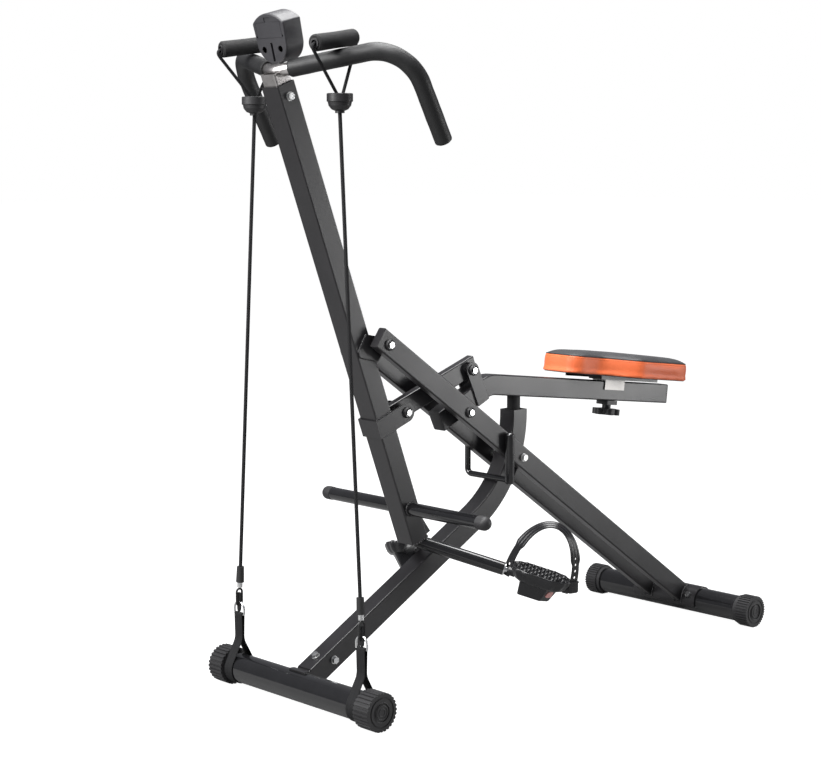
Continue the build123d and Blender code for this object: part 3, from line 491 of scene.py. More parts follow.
def plateFinish():
    # bare zinc above the seat beam's underside, black paint below it
    material, tree, shader, place = startMaterial("sliderPlate")
    toward = tree.nodes.new("ShaderNodeVectorMath")
    toward.operation = "DOT_PRODUCT"
    toward.inputs[1].default_value = seatUp
    tree.links.new(place.outputs["Object"], toward.inputs[0])
    level = float(pivotOf("clamp_turn") @ seatUp) - 0.012
    bare = mathNode(tree, "GREATER_THAN", toward.outputs["Value"], level)
    node = placeGroup(tree, "grain", place.outputs["Object"], Grain_Scale=1100.0, Blotch_Scale=30.0)
    metal = blendColours(tree, rangeOf(tree, node.outputs["Blotch"], 0, 1), (0.30, 0.29, 0.28), (0.44, 0.43, 0.42))
    tree.links.new(blendColours(tree, bare, (0.012, 0.012, 0.013), metal), shader.inputs["Base Color"])
    tree.links.new(bare, shader.inputs["Metallic"])
    tree.links.new(rangeOf(tree, node.outputs["Blotch"], 0.36, 0.50), shader.inputs["Roughness"])
    addBump(tree, shader, node.outputs["Grain"], 0.15, 0.0002)
    return material


finishes["plate"] = plateFinish()
finishes["screen"] = screenFinish()
nodeFinish = {
    "powder": ["frame_tube", "front_stub", "beam_near", "beam_far", "rear_saddle", "mast_tube", "mast_hinge", "link_collar",
               "rocker_tube", "rocker_ears", "seat_beam", "link_bar", "seat_bracket", "console_stalk"],
    "gloss": ["front_crossbar", "rear_crossbar", "peg_bar", "pedal_tube", "hook_bar"],
    "zinc": ["frame_bolts", "pivot_bolts", "mast_bolts", "link_bolt", "pedal_axles", "d_rings", "rope_ferrules", "beam_spacers"],
    "plate": ["slider_plates"],
    "steel": ["mast_stem", "handlebar"],
    "cap": ["front_cap_near", "front_cap_far", "rear_cap_near", "rear_cap_far", "pull_cups", "seat_beam_plug", "clamp_knob",
            "pull_cores"],
    "case": ["console_back", "console_front"],
    "rubber": ["stop_bumper", "rope_sleeves"],
    "board": ["seat_board"],
    "button": ["console_button"],
    "screen": ["console_screen"],
    "rope": ["rope_near", "rope_far", "pull_cord_near", "pull_cord_far"],
    "webbing": ["bar_strap_near", "bar_strap_far"],
    "foam": ["handle_foam_near", "handle_foam_far", "pull_foam_near", "pull_foam_far", "seat_pad"],
    "pedal": ["pedal_near", "pedal_far", "toe_strap_near", "toe_strap_far"],
}
for finish, names in nodeFinish.items():
    for node in names:
        data = frame["nodes"][node].data
        data.materials.clear()
        data.materials.append(finishes[finish])
print("materials made")


# ropes and pull cords

ropeSet = {"foot": (-0.57136, -0.1873, 0.25385), "head": (-0.56767, -0.130, 1.179), "diameter": 0.0075}
cordSet = {"diameter": 0.0064, "beyondGrip": 0.014, "gripHalf": 0.061, "gripTurn": 12.0, "gripRise": 0.14, "run": 0.038,
           "apart": 0.008}
gripRun = unit([math.cos(math.radians(cordSet["gripTurn"])), math.sin(math.radians(cordSet["gripTurn"])), cordSet["gripRise"]])


def smoothRoute(name, route):
    # the smooth line of a NURBS spline with the route's points as its control points
    curve = bpy.data.curves.new(name + "Line", "CURVE")
    curve.dimensions = "3D"
    curve.resolution_u = 24
    spline = curve.splines.new("NURBS")
    spline.points.add(len(route) - 1)
    for point, place in zip(spline.points, route):
        point.co = (*place, 1)
    spline.order_u = 3
    spline.use_endpoint_u = True
    holder = bpy.data.objects.new(name + "Line", curve)
    bpy.context.scene.collection.objects.link(holder)
    mesh = bpy.data.meshes.new_from_object(holder)
    line = np.array([v.co for v in mesh.vertices], float)
    bpy.data.objects.remove(holder)
    bpy.data.meshes.remove(mesh)
    return line


def cordTube(name, route, radius, step):
    # a round tube whose rings follow the smooth line at an even spacing
    line = smoothRoute(name, route)
    length = np.append(0, np.cumsum(np.linalg.norm(np.diff(line, axis=0), axis=1)))
    spots = np.linspace(0, length[-1], int(length[-1] / step) + 2)
    path = np.stack([np.interp(spots, length, line[:, k]) for k in range(3)], -1)
    piece = skin(name, carried(path, roundProfile(radius, 20), crossWay * 0.2 + np.array([0.9, 0, 0.1])))
    return piece, path, float(length[-1])


def makeRopes(s):
    foot, head = np.array(s["foot"]), np.array(s["head"])
    for side, place in sidesOf.items():
        a, b = place(foot), place(head)
        piece, path, length = cordTube(side + "Rope", [a, a + (b - a) * 0.04, a + (b - a) * 0.5, b - (b - a) * 0.04, b],
                                       s["diameter"] / 2, 0.006)
        piece.data.materials.append(finishes["rope"])
        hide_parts("rope_" + side)
        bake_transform(piece)
        print(side, "rope", round(length, 4))


def makePullCords(s):
    for side, place in sidesOf.items():
        grip = place(middleOf("pull_foam_near"))
        run = place(gripRun)
        cup = middleOf("pull_cups") * [1, 0, 0] + place([0, -0.130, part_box("pull_cups")[1][2]])
        front = grip - run * (s["gripHalf"] + s["beyondGrip"])
        back = grip + run * (s["gripHalf"] + s["beyondGrip"])
        start = cup - [s["apart"], 0, 0]
        end = cup + [s["apart"], 0, 0]
        route = [start, front + unit(start - front) * s["run"], front, front + run * s["run"],
                 back - run * s["run"], back, back + unit(end - back) * s["run"], end]
        piece, path, length = cordTube(side + "PullCord", route, s["diameter"] / 2, 0.0025)
        dressed(piece, finishes["rope"], "mast", "rope_black", "pull_cord_" + side)
        print(side, "pull cord", round(length, 4))


makeRopes(ropeSet)
makePullCords(cordSet)


# foam on the handlebar and on the pull grips

handleSet = {"middle": (-0.62140, 0.0, 1.25887), "corner": (0.109, -0.257, 0.0455), "drop": (0.096, 0.0, -0.179),
             "start": 0.036, "bend": 0.085, "radius": 0.0172, "bore": 0.0129}
gripSet = {"radius": 0.0162, "bore": 0.0096, "half": 0.061, "edge": 0.004}


def makeHandleFoam(s):
    # a sleeve along the bent bar: its outer rings swell by a hair in slow waves along it, and ease in slightly at both
    # ends
    middle = np.array(s["middle"])
    corner = middle + s["corner"]
    tip = corner + s["drop"]
    for side, place in sidesOf.items():
        start = middle + unit(corner - middle) * s["start"]
        path = bentPath([place(start), place(corner), place(tip)], [s["bend"]], 0.0025)
        length = np.append(0, np.cumsum(np.linalg.norm(np.diff(path, axis=0), axis=1)))
        wave = 1 + 0.008 * np.sin(length * 75) + 0.006 * np.sin(length * 173 + 1.3)
        ends = np.clip(np.minimum(length, length[-1] - length) / 0.004, 0, 1)
        size = wave * (0.92 + 0.08 * np.sqrt(1 - (1 - ends) ** 2))
        grid = carried(path, roundProfile(s["radius"], 40), [1, 0, 0], size)
        dressed(skin(side + "HandleFoam", grid), finishes["sleeve"], "mast", "foam_black", "handle_foam_" + side)
        cap = turned(path[-1] - unit(path[-1] - path[-2]) * 0.001, path[-1] - path[-2],
                     [(0, 0.0128), (0.002, 0.0128), (0.0035, 0.0120), (0.0042, 0.0098), (0.0042, 0.004)], 32)
        dressed(skin(side + "BarEndPlug", cap), finishes["cap"], "mast", "cap_plastic")


def makeGripFoam(s):
    # a hollow sleeve turned from its wall's outline: rounded lips, and a slight waist where the hand closes
    for side, place in sidesOf.items():
        along = np.linspace(-s["half"], s["half"], 45)
        lip = np.clip((s["half"] - np.abs(along)) / s["edge"], 0, 1)
        outer = s["radius"] - 0.0028 * (1 - np.sqrt(1 - (1 - lip) ** 2)) - 0.0006 * np.cos(along / s["half"] * math.pi / 2) ** 2
        inner = np.full(9, s["bore"])
        wall = np.concatenate([np.stack([along, outer], -1), np.stack([np.linspace(s["half"], -s["half"], 9), inner], -1)])
        grid = turned(place(middleOf("pull_foam_near")), place(gripRun), wall, 40)
        dressed(skin(side + "GripFoam", grid, loop=True), finishes["foam"], "mast", "foam_black", "pull_foam_" + side)


makeHandleFoam(handleSet)
makeGripFoam(gripSet)
print("foam made")


# webbing round the front crossbar

strapSet = {"barRadius": 0.0305, "ringRadius": 0.0026, "split": 0.100, "ringHeight": 0.153, "thick": 0.0018, "width": 0.0248,
            "middle": 0.192}


def strapOutline(s):
    # one closed line: round the bar's underside, up each flank to the split, together to the ring and over it
    low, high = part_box("front_crossbar")
    barX, barZ = (low[0] + high[0]) / 2, (low[2] + high[2]) / 2
    rise = s["split"] - barZ
    lean = math.asin(s["barRadius"] / rise)
    turn = np.linspace(math.pi - lean, 2 * math.pi + lean, 46)
    round1 = np.stack([barX + s["barRadius"] * np.cos(turn), barZ + s["barRadius"] * np.sin(turn)], -1)
    over = np.linspace(0, math.pi, 12)
    gap = s["thick"] / 2 + 0.0003
    top = np.stack([barX + s["ringRadius"] * np.cos(over), s["ringHeight"] + s["ringRadius"] * np.sin(over)], -1)
    flank = np.linspace(0, 1, 14)[1:-1, None]
    rightLow, leftLow = round1[-1], round1[0]
    rightSplit, leftSplit = np.array([barX + gap, s["split"]]), np.array([barX - gap, s["split"]])
    up = [rightLow + (rightSplit - rightLow) * flank, rightSplit + (top[0] - rightSplit) * flank]
    down = [top[-1] + (leftSplit - top[-1]) * flank, leftSplit + (leftLow - leftSplit) * flank]
    line = np.vstack([round1, *up, top, *down])
    smooth = (np.roll(line, 1, 0) + 2 * line + np.roll(line, -1, 0)) / 4
    return np.stack([smooth[:, 0], np.zeros(len(smooth)), smooth[:, 1]], -1)


def makeStraps(s):
    # a flat band with softly rounded edges carried round the closed line, and two rows of box stitches above the split
    line = strapOutline(s)
    way = np.roll(line, -1, 0) - np.roll(line, 1, 0)
    way /= np.linalg.norm(way, axis=1)[:, None]
    out = np.cross(crossWay, way)
    out *= np.sign(np.sum(out * (line - line.mean(0)))) or 1
    profile = softBox(s["width"], s["thick"], 6.0, 36)
    for side, place in sidesOf.items():
        band = (line[:, None, :] + profile[None, :, 0, None] * crossWay
                + (profile[None, :, 1, None] + s["thick"] / 2) * out[:, None, :])
        steps = np.append(0, np.cumsum(np.linalg.norm(np.diff(line, axis=0), axis=1)))
        grid = place(band + [0, -s["middle"], 0])
        dressed(skin(side + "BarStrap", grid, [steps], loop=True, sharpness=60), finishes["webbing"], "frame", "webbing_black",
                "bar_strap_" + side)
        makeStitches(side, place, s)


def makeStitches(side, place, s):
    # short raised stitches in a box with a cross through it, on both faces of the doubled webbing
    low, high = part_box("front_crossbar")
    barX = (low[0] + high[0]) / 2
    half, bottom, top = s["width"] * 0.38, s["split"] + 0.006, s["split"] + 0.026
    corners = np.array([(-half, bottom), (half, bottom), (half, top), (-half, top), (-half, bottom), (half, top), (half, bottom),
                        (-half, top)])
    grids = []
    for a, b in zip(corners[:-1], corners[1:]):
        count = max(2, int(np.linalg.norm(b - a) / 0.0032))
        for k in range(count):
            p = a + (b - a) * (k + 0.15) / count
            q = a + (b - a) * (k + 0.85) / count
            for face in (-1, 1):
                x = barX + face * (s["thick"] * 1.5 + 0.0004)
                ends = np.array([(x, p[0] - s["middle"], p[1]), (x, q[0] - s["middle"], q[1])])
                path = ends[0] + (ends[1] - ends[0]) * np.linspace(0, 1, 5)[:, None]
                grids.append(place(carried(path, roundProfile(0.00045, 6), [1, 0, 0], roundedEnds(path, 0.0006))))
    dressed(skin(side + "StrapStitches", grids), finishes["rope"], "frame", "webbing_black")


makeStraps(strapSet)
print("webbing made")


# seat cushion

seatSet = {"length": 0.338, "width": 0.264, "nose": 0.124, "waist": 0.092, "flare": 0.158, "corner": 0.038, "height": 0.038,
           "board": 0.008, "bracketTop": 0.0359, "front": -0.18958, "inset": 0.0025, "voxel": 0.0050, "pressure": 4.0,
           "frames": 20, "cap": 0.0062, "seam": 0.0322, "lowSeam": -0.0068, "welt": 0.0013, "skirt": 0.0075}


def seatFrame(s):
    # the cushion's own axes: its front bottom middle, then rearward, across and up
    base = pivotOf("clamp_turn") + seatRun * s["front"] + seatUp * (s["bracketTop"] + s["board"])
    return base, seatRun, crossWay, seatUp


def padOutline(s, inset, count=220):
    # narrow nose, concave flare and wide rear, with round corners, spaced evenly round the edge
    nose, wide = s["nose"] / 2 - inset, s["width"] / 2 - inset
    length = s["length"] - inset
    half = [(inset, 0), (inset, nose), (s["waist"], nose), (s["flare"], wide), (length, wide), (length, 0)]
    half3 = [np.array([x, y, 0]) for x, y in half]
    radius = s["corner"] - inset
    right = bentPath(half3, [radius, radius, radius, radius], 0.001)
    line = np.vstack([right, (right * [1, -1, 1])[::-1][1:-1]])[:, :2]
    steps = np.append(0, np.cumsum(np.linalg.norm(np.diff(np.vstack([line, line[:1]]), axis=0), axis=1)))
    closed = np.vstack([line, line[:1]])
    spots = np.arange(count) / count * steps[-1]
    return np.stack([np.interp(spots, steps, closed[:, k]) for k in range(2)], -1)


def cushionGrid(s):
    # rings from the flat base, up a wall that bellies slightly, over a round edge to the crowned top
    outline = padOutline(s, s["inset"])
    middle = np.array([s["length"] * 0.56, 0.0])
    share = np.array([0.30, 0.60, 0.90, 0.985, 1.0, 1.006, 1.010, 1.008, 1.0, 0.985, 0.955, 0.90, 0.75, 0.50, 0.25])
    level = np.array([0, 0, 0, 0.0004, 0.002, 0.009, 0.020, 0.031, 0.0378, 0.0412, 0.0430, 0.0440, 0.0450, 0.0458, 0.0460])
    level = level - s["skirt"]
    base, along, across, up = seatFrame(s)
    flat = middle + (outline - middle)[None] * share[:, None, None]
    return base + flat[..., 0, None] * along + flat[..., 1, None] * across + level[:, None, None] * up


def stuffed(piece, s):
    # inflates a remeshed copy as cloth, then keeps only a capped part of each point's move, none of it at the flat base
    remesh = piece.modifiers.new("remesh", "REMESH")
    remesh.mode = "VOXEL"
    remesh.voxel_size = s["voxel"]
    graph = bpy.context.evaluated_depsgraph_get()
    piece.data = bpy.data.meshes.new_from_object(piece.evaluated_get(graph))
    piece.modifiers.clear()
    mesh = piece.data
    rest = np.empty(len(mesh.vertices) * 3)
    mesh.vertices.foreach_get("co", rest)
    rest = rest.reshape(-1, 3)
    cloth = piece.modifiers.new("cloth", "CLOTH")
    cloth.settings.use_pressure = True
    cloth.settings.uniform_pressure_force = s["pressure"]
    cloth.settings.effector_weights.gravity = 0
    cloth.settings.quality = 5
    cloth.settings.tension_stiffness = 30
    cloth.settings.shear_stiffness = 12
    cloth.settings.bending_stiffness = 1.0
    cloth.point_cache.frame_end = s["frames"]
    scene = bpy.context.scene
    for step in range(1, s["frames"] + 1):
        scene.frame_set(step)
    graph = bpy.context.evaluated_depsgraph_get()
    blown = bpy.data.meshes.new_from_object(piece.evaluated_get(graph))
    moved = np.empty(len(blown.vertices) * 3)
    blown.vertices.foreach_get("co", moved)
    move = moved.reshape(-1, 3) - rest
    piece.modifiers.clear()
    scene.frame_set(1)
    base, along, across, up = seatFrame(s)
    level = (rest - base) @ up
    size = np.linalg.norm(move, axis=1)
    keep = np.minimum(1, s["cap"] * np.tanh(size / s["cap"]) / np.maximum(size, 1e-9))
    free = np.clip((level + s["skirt"]) / 0.012, 0, 1)
    free = free * free * (3 - 2 * free)
    place = rest + move * (keep * free)[:, None]
    lift = np.clip(-s["skirt"] - (place - base) @ up, 0, None)
    place += lift[:, None] * up
    mesh.vertices.foreach_set("co", place.ravel())
    mesh.update()
    bpy.data.meshes.remove(blown)
    print("cushion blown, largest kept move", round(float(np.max(size * keep)), 4))


def vinylFinish(s):
    # soft vinyl: an orange side band between the seams, black above and below, fine leather grain and soft wear
    material, tree, shader, place = startMaterial("seatVinyl")
    base, along, across, up = seatFrame(s)
    toward = tree.nodes.new("ShaderNodeVectorMath")
    toward.operation = "DOT_PRODUCT"
    toward.inputs[1].default_value = up
    tree.links.new(place.outputs["Object"], toward.inputs[0])
    level = mathNode(tree, "SUBTRACT", toward.outputs["Value"], float(base @ up))
    above = mathNode(tree, "GREATER_THAN", level, s["seam"])
    below = mathNode(tree, "LESS_THAN", level, s["lowSeam"])
    black = mathNode(tree, "MAXIMUM", above, below)
    grain = placeGroup(tree, "grain", place.outputs["Object"], Grain_Scale=700.0, Blotch_Scale=11.0)
    hide = placeGroup(tree, "cells", place.outputs["Object"], Scale=520.0, Crease=0.35)
    blotch = rangeOf(tree, grain.outputs["Blotch"], 0, 1)
    orange = blendColours(tree, blotch, (0.74, 0.130, 0.035), (0.86, 0.185, 0.060))
    dark = blendColours(tree, blotch, (0.020, 0.020, 0.022), (0.032, 0.032, 0.035))
    tree.links.new(blendColours(tree, black, orange, dark), shader.inputs["Base Color"])
    tree.links.new(rangeOf(tree, grain.outputs["Blotch"], 0.42, 0.54), shader.inputs["Roughness"])
    shader.inputs["Sheen Weight"].default_value = 0.08
    height = mathNode(tree, "ADD", hide.outputs["Height"], mathNode(tree, "MULTIPLY", grain.outputs["Grain"], 0.6))
    addBump(tree, shader, height, 0.35, 0.0004)
    return material


def makeCushion(s):
    piece = skin("seatCushion", cushionGrid(s))
    stuffed(piece, s)
    smooth = piece.modifiers.new("smooth", "SUBSURF")
    smooth.levels = smooth.render_levels = 1
    graph = bpy.context.evaluated_depsgraph_get()
    piece.data = bpy.data.meshes.new_from_object(piece.evaluated_get(graph))
    piece.modifiers.clear()
    piece.data.shade_smooth()
    dressed(piece, vinylFinish(s), "seat_slider", "seat_vinyl", "seat_pad")
    return piece


def makeBoard(s):
    # a flat board inside the skirt of the cover, its edges eased
    base, along, across, up = seatFrame(s)
    outline = padOutline(s, 0.0100)
    middle = np.array([s["length"] * 0.56, 0.0])
    share = np.array([0.3, 0.985, 1.0, 1.0, 0.3])
    level = np.array([-0.0080, -0.0080, -0.0070, -0.0030, -0.0030])
    flat = middle + (outline - middle)[None] * share[:, None, None]
    grid = base + flat[..., 0, None] * along + flat[..., 1, None] * across + level[:, None, None] * up
    dressed(skin("seatBoard", grid), finishes["board"], "seat_slider", "board_black", "seat_board")


def onCushion(piece, s, level, reach):
    # points of the outline at one height, moved onto the cushion's own surface
    base, along, across, up = seatFrame(s)
    outline = padOutline(s, -0.006, 260)
    middle = np.array([s["length"] * 0.5, 0.0])
    surface = BVHTree.FromObject(piece, bpy.context.evaluated_depsgraph_get())
    flat = base + outline[:, :1] * along + outline[:, 1:] * across + level * up
    inward = np.roll(outline, -1, 0) - np.roll(outline, 1, 0)
    inward = np.stack([-inward[:, 1], inward[:, 0]], -1)
    inward *= np.sign(np.sum(inward * (middle - outline)))
    inward = inward[:, :1] * along + inward[:, 1:] * across
    found = [surface.ray_cast(Vector(p), Vector(unit(d)), 0.04)[0] for p, d in zip(flat, inward)]
    hit = np.array([p if f is None else np.array(f) for p, f in zip(flat, found)])
    outward = -inward / np.linalg.norm(inward, axis=1)[:, None]
    smooth = (np.roll(hit, 1, 0) + 2 * hit + np.roll(hit, -1, 0)) / 4
    return smooth + outward * reach, outward


def makeSeams(piece, s):
    # piping along the upper seam, a thinner cord along the lower one, and a row of stitches under the piping
    base, along, across, up = seatFrame(s)
    for name, level, radius in (("seatWelt", s["seam"], s["welt"]), ("seatLowCord", s["lowSeam"], 0.0011)):
        line, outward = onCushion(piece, s, level, radius * 0.1)
        turn = np.arange(12) / 12 * 2 * np.pi
        ring = line[:, None] + radius * (np.cos(turn)[None, :, None] * outward[:, None] + np.sin(turn)[None, :, None] * up)
        dressed(skin(name, ring, loop=True), finishes["board"], "seat_slider", "seat_vinyl")
    line, outward = onCushion(piece, s, s["seam"] - 0.0048, 0.0001)
    steps = np.append(0, np.cumsum(np.linalg.norm(np.diff(line, axis=0), axis=1)))
    grids = []
    for start in np.arange(0, steps[-1] - 0.004, 0.0052):
        spots = np.linspace(start, start + 0.0036, 4)
        path = np.stack([np.interp(spots, steps, line[:, k]) for k in range(3)], -1)
        grids.append(carried(path, roundProfile(0.00042, 6), up, roundedEnds(path, 0.0008)))
    dressed(skin("seatStitches", grids), finishes["thread"], "seat_slider", "seat_vinyl")


cushion = makeCushion(seatSet)
makeSeams(cushion, seatSet)
makeBoard(seatSet)
print("seat made")


# pedals and toe straps

pedalSet = {"half": 0.064, "foot": 0.100, "top": 0.018, "bottom": -0.008, "keelBottom": -0.040, "keelHalf": 0.040,
            "keelWide": 0.028, "keelCorner": 0.006, "stud": 0.0060, "studTall": 0.0068}
toeSet = {"wide": 0.0710, "rise": 0.124, "skin": 0.0026, "width": 0.029, "leg": 0.019, "innerEnd": -0.012, "outerEnd": 0.004,
          "legTurn": 50.0, "crownTurn": 14.0}


def pedalFrame():
    # the pedal's centre, then along its axle outward, up, and toward the toe
    centre = pivotOf("pedal_near_turn")
    out = unit(joints["pedal_near_turn"]["axis"])
    out = out if out[1] < 0 else -out
    up = unit(np.array([0, 0, 1.0]) - out[2] * out)
    return centre, out, up, np.cross(out, up)


def plateRings(centre, out, up, toe, outline, levels, shares):
    # the outline at each level, drawn in or out from the middle by that level's share
    flat = np.asarray(outline)[None] * np.asarray(shares)[:, None, None]
    return centre + flat[..., 0, None] * out + flat[..., 1, None] * toe + np.asarray(levels)[:, None, None] * up


def roundPolygon(corners, radius, count):
    # a closed polygon with round corners, resampled evenly
    flat = [np.array([x, y, 0.0]) for x, y in corners]
    middle = (flat[0] + flat[-1]) / 2
    line = bentPath([middle, *flat, middle], [radius] * len(flat), 0.0002)
    steps = np.append(0, np.cumsum(np.linalg.norm(np.diff(line, axis=0), axis=1)))
    spots = np.arange(count) / count * steps[-1]
    return np.stack([np.interp(spots, steps, line[:, k]) for k in range(2)], -1)


def makePedals(s):
    centre, out, up, toe = pedalFrame()
    turn = np.arange(160) / 160 * 2 * np.pi
    body = softBox(2 * s["half"], s["foot"], 3.2, 160)
    scallop = 1 - 0.045 * (0.5 + 0.5 * np.cos(turn * 12)) * (np.abs(np.sin(turn)) > 0.30)
    rim = body * scallop[:, None]
    low, top = s["bottom"], s["top"]
    floor = top - 0.0035
    tread = plateRings(centre, out, up, toe, rim,
                       [low, low, low + 0.002, low + 0.008, top - 0.008, top - 0.003, top - 0.0008, top, top - 0.0005, floor, floor],
                       [0.4, 0.74, 0.80, 0.90, 0.985, 1.0, 0.992, 0.970, 0.93, 0.91, 0.4])
    half, wide = s["keelHalf"], s["keelWide"]
    plan = roundPolygon([(-half + 0.003, wide), (half * 0.50, wide), (half * 1.04, -wide * 0.35), (half * 1.04, -wide),
                         (-half + 0.003, -wide)], s["keelCorner"], 120)
    keelLow = s["keelBottom"]
    levels = np.array([low + 0.006, low, low - 0.010, keelLow + 0.004, keelLow + 0.001, keelLow, keelLow])
    along = np.array([1.06, 1.05, 1.0, 0.88, 0.85, 0.81, 0.3])
    across = np.array([1.12, 1.10, 0.92, 0.62, 0.57, 0.50, 0.2])
    lean = np.array([0.0, 0.0, -0.001, -0.004, -0.0045, -0.0045, -0.0045])
    keel = (centre + (plan[None, :, 0] * along[:, None] + lean[:, None])[..., None] * out
            + (plan[None, :, 1] * across[:, None])[..., None] * toe + levels[:, None, None] * up)
    grids = [tread, keel]
    for row in range(-2, 3):
        for column in range(-4, 5):
            x = column * 0.0150 + (row % 2) * 0.0075 - 0.0037
            y = row * 0.0170
            if (abs(x) / (s["half"] - 0.010)) ** 3.2 + (abs(y) / (s["foot"] / 2 - 0.010)) ** 3.2 > 1:
                continue
            dome = [(0, s["stud"] * 1.10), (s["studTall"] * 0.55, s["stud"] * 0.98), (s["studTall"] * 0.85, s["stud"] * 0.74),
                    (s["studTall"], s["stud"] * 0.35)]
            grids.append(turned(centre + out * x + toe * y + up * (floor - 0.0002), up, dome, 16))
    for end, reach in ((-1, 0.0705), (1, 0.0660)):
        grids.append(turned(centre + out * end * (s["half"] - 0.012), out * end,
                            [(0, 0.0105), (reach - s["half"] + 0.010, 0.0100), (reach - s["half"] + 0.012, 0.0086)], 28))
    ridge, back = np.array([half * 0.50, wide]), np.array([half * 1.04, -wide * 0.35])
    faceRun = unit((back - ridge)[0] * out + (back - ridge)[1] * toe)
    faceOut = unit(np.cross(faceRun, up) * np.sign(np.cross(faceRun, up) @ out) - up * 0.20)
    faceUp = unit(up - (up @ faceOut) * faceOut)
    mid = (ridge + back) / 2
    spot = centre + out * (mid[0] * 0.965 - 0.001) + toe * mid[1] * 0.80 - up * 0.021
    shape = softBox(0.021, 0.015, 5.0, 32)
    flat = shape[None, :, 0, None] * faceRun + shape[None, :, 1, None] * faceUp
    shares = np.array([1.0, 1.0, 0.93, 0.5])
    heights = np.array([-0.006, 0.0014, 0.0024, 0.0026])
    glass = spot + flat * shares[:, None, None] + heights[:, None, None] * faceOut
    for side, place in sidesOf.items():
        solid = skin(side + "Pedal", [place(g) for g in grids], sharpness=35)
        dressed(solid, finishes["pedal"], "pedal_" + side, "pedal_plastic", "pedal_" + side)
        dressed(skin(side + "PedalReflector", place(glass)), finishes["reflector"], "pedal_" + side, "pedal_plastic")


def toeLine(s):
    # half an ellipse over the foot with short legs below it, from one leg's end to the other's
    turn = np.linspace(0, math.pi, 110)
    arch = np.stack([-s["wide"] * np.cos(turn), s["rise"] * np.sin(turn)], -1)
    arch = arch[arch[:, 1] > 0.010]
    legs = np.linspace(0, 1, 12)[:-1, None]
    inner = np.array([arch[0, 0] - 0.001, s["innerEnd"]]) + (arch[0] - [arch[0, 0] - 0.001, s["innerEnd"]]) * legs
    outerEnd = np.array([s["wide"] + 0.003, s["outerEnd"] - 0.004])
    outer = arch[-1] + (outerEnd - arch[-1]) * (1 - legs[::-1])
    return np.vstack([inner, arch, outer])


def makeToeStraps(s):
    # a moulded strap, wide and ribbed over the foot and waisted to plain legs: its width turns from the toe's way at the
    # crown towards the pedal's middle at the legs, so it narrows to the toe as a shoe does
    centre, out, up, toe = pedalFrame()
    line = toeLine(s)
    path = centre + line[:, :1] * out + line[:, 1:] * up
    way = np.gradient(path, axis=0)
    way /= np.linalg.norm(way, axis=1)[:, None]
    radial = np.cross(way, toe)
    radial *= np.sign(np.sum(radial * (path - centre)))
    share = np.clip(line[:, 1] / s["rise"], 0, 1) ** 1.5
    turn = np.radians(s["legTurn"] + (s["crownTurn"] - s["legTurn"]) * share)[:, None]
    wideWay = toe * np.cos(turn) - radial * np.sin(turn)
    outward = toe * np.sin(turn) + radial * np.cos(turn)
    blend = np.clip((line[:, 1] - 0.052) / 0.014, 0, 1)
    blend = blend * blend * (3 - 2 * blend)
    width = s["leg"] + (s["width"] - s["leg"]) * blend
    side = np.linspace(-0.5, 0.5, 37)
    ridge = 0.0013 * (0.5 + 0.5 * np.cos(side * 2 * np.pi * 3.0)) * (np.abs(side) < 0.46)
    across = np.concatenate([side, side[::-1]])
    rise = np.concatenate([np.zeros((len(path), 37)) + ridge * blend[:, None], np.full((len(path), 37), -s["skin"])], 1)
    band = path[:, None] + (across * width[:, None])[..., None] * wideWay[:, None] + rise[..., None] * outward[:, None]
    steps = np.append(0, np.cumsum(np.linalg.norm(np.diff(path, axis=0), axis=1)))
    outerHoles = steps[-1] - np.array([0.030, 0.043, 0.056, 0.069])
    spots = [0.026, *outerHoles]
    pick = [int(np.argmin(np.abs(steps - spot))) for spot in spots]
    last = len(path) - 8
    post = softBox(s["leg"] * 1.35, 0.024, 6.0, 36)
    shares = np.array([0.9, 1.0, 1.0, 0.92, 0.7])
    depths = np.array([-0.0062, -0.005, 0.0018, 0.0030, 0.0034])
    flat = post[None, :, 0, None] * wideWay[last] + post[None, :, 1, None] * way[last]
    buckle = path[last] + flat * shares[:, None, None] + depths[:, None, None] * outward[last]
    bar = softBox(s["leg"] * 1.5, 0.005, 4.0, 24)
    barFlat = bar[None, :, 0, None] * wideWay[last] + bar[None, :, 1, None] * way[last]
    barTop = path[last] - way[last] * 0.011 + barFlat * shares[:, None, None] + (depths * 1.3)[:, None, None] * outward[last]
    first = 5
    lugFlat = post[None, :, 0, None] * wideWay[first] * 0.85 + post[None, :, 1, None] * way[first] * 0.7
    lug = path[first] + lugFlat * shares[:, None, None] + depths[:, None, None] * outward[first]
    for name, place in sidesOf.items():
        strap = skin(name + "ToeStrap", place(band), sharpness=50)
        for k in pick:
            bore = turned(path[k] - outward[k] * 0.010, outward[k], [(0, 0.0031), (0.020, 0.0031)], 20)
            cutter = skin("holeCutter", place(bore))
            cut = strap.modifiers.new("hole", "BOOLEAN")
            cut.operation = "DIFFERENCE"
            cut.solver = "EXACT"
            cut.object = cutter
            graph = bpy.context.evaluated_depsgraph_get()
            strap.data = bpy.data.meshes.new_from_object(strap.evaluated_get(graph))
            strap.modifiers.clear()
            bpy.data.objects.remove(cutter)
        strap.data.shade_smooth()
        strap.data.set_sharp_from_angle(angle=math.radians(50))
        dressed(strap, finishes["pedal"], "pedal_" + name, "pedal_plastic", "toe_strap_" + name)
        grids = [place(buckle), place(barTop), place(lug)]
        dressed(skin(name + "StrapBuckle", grids, sharpness=35), finishes["pedal"], "pedal_" + name, "pedal_plastic")


makePedals(pedalSet)
makeToeStraps(toeSet)
print("pedals made")


# peg ends, weld beads and small trim

pegSet = {"radius": 0.0146, "long": 0.016}
weldSet = {"radius": 0.0020, "pitch": 0.0032}


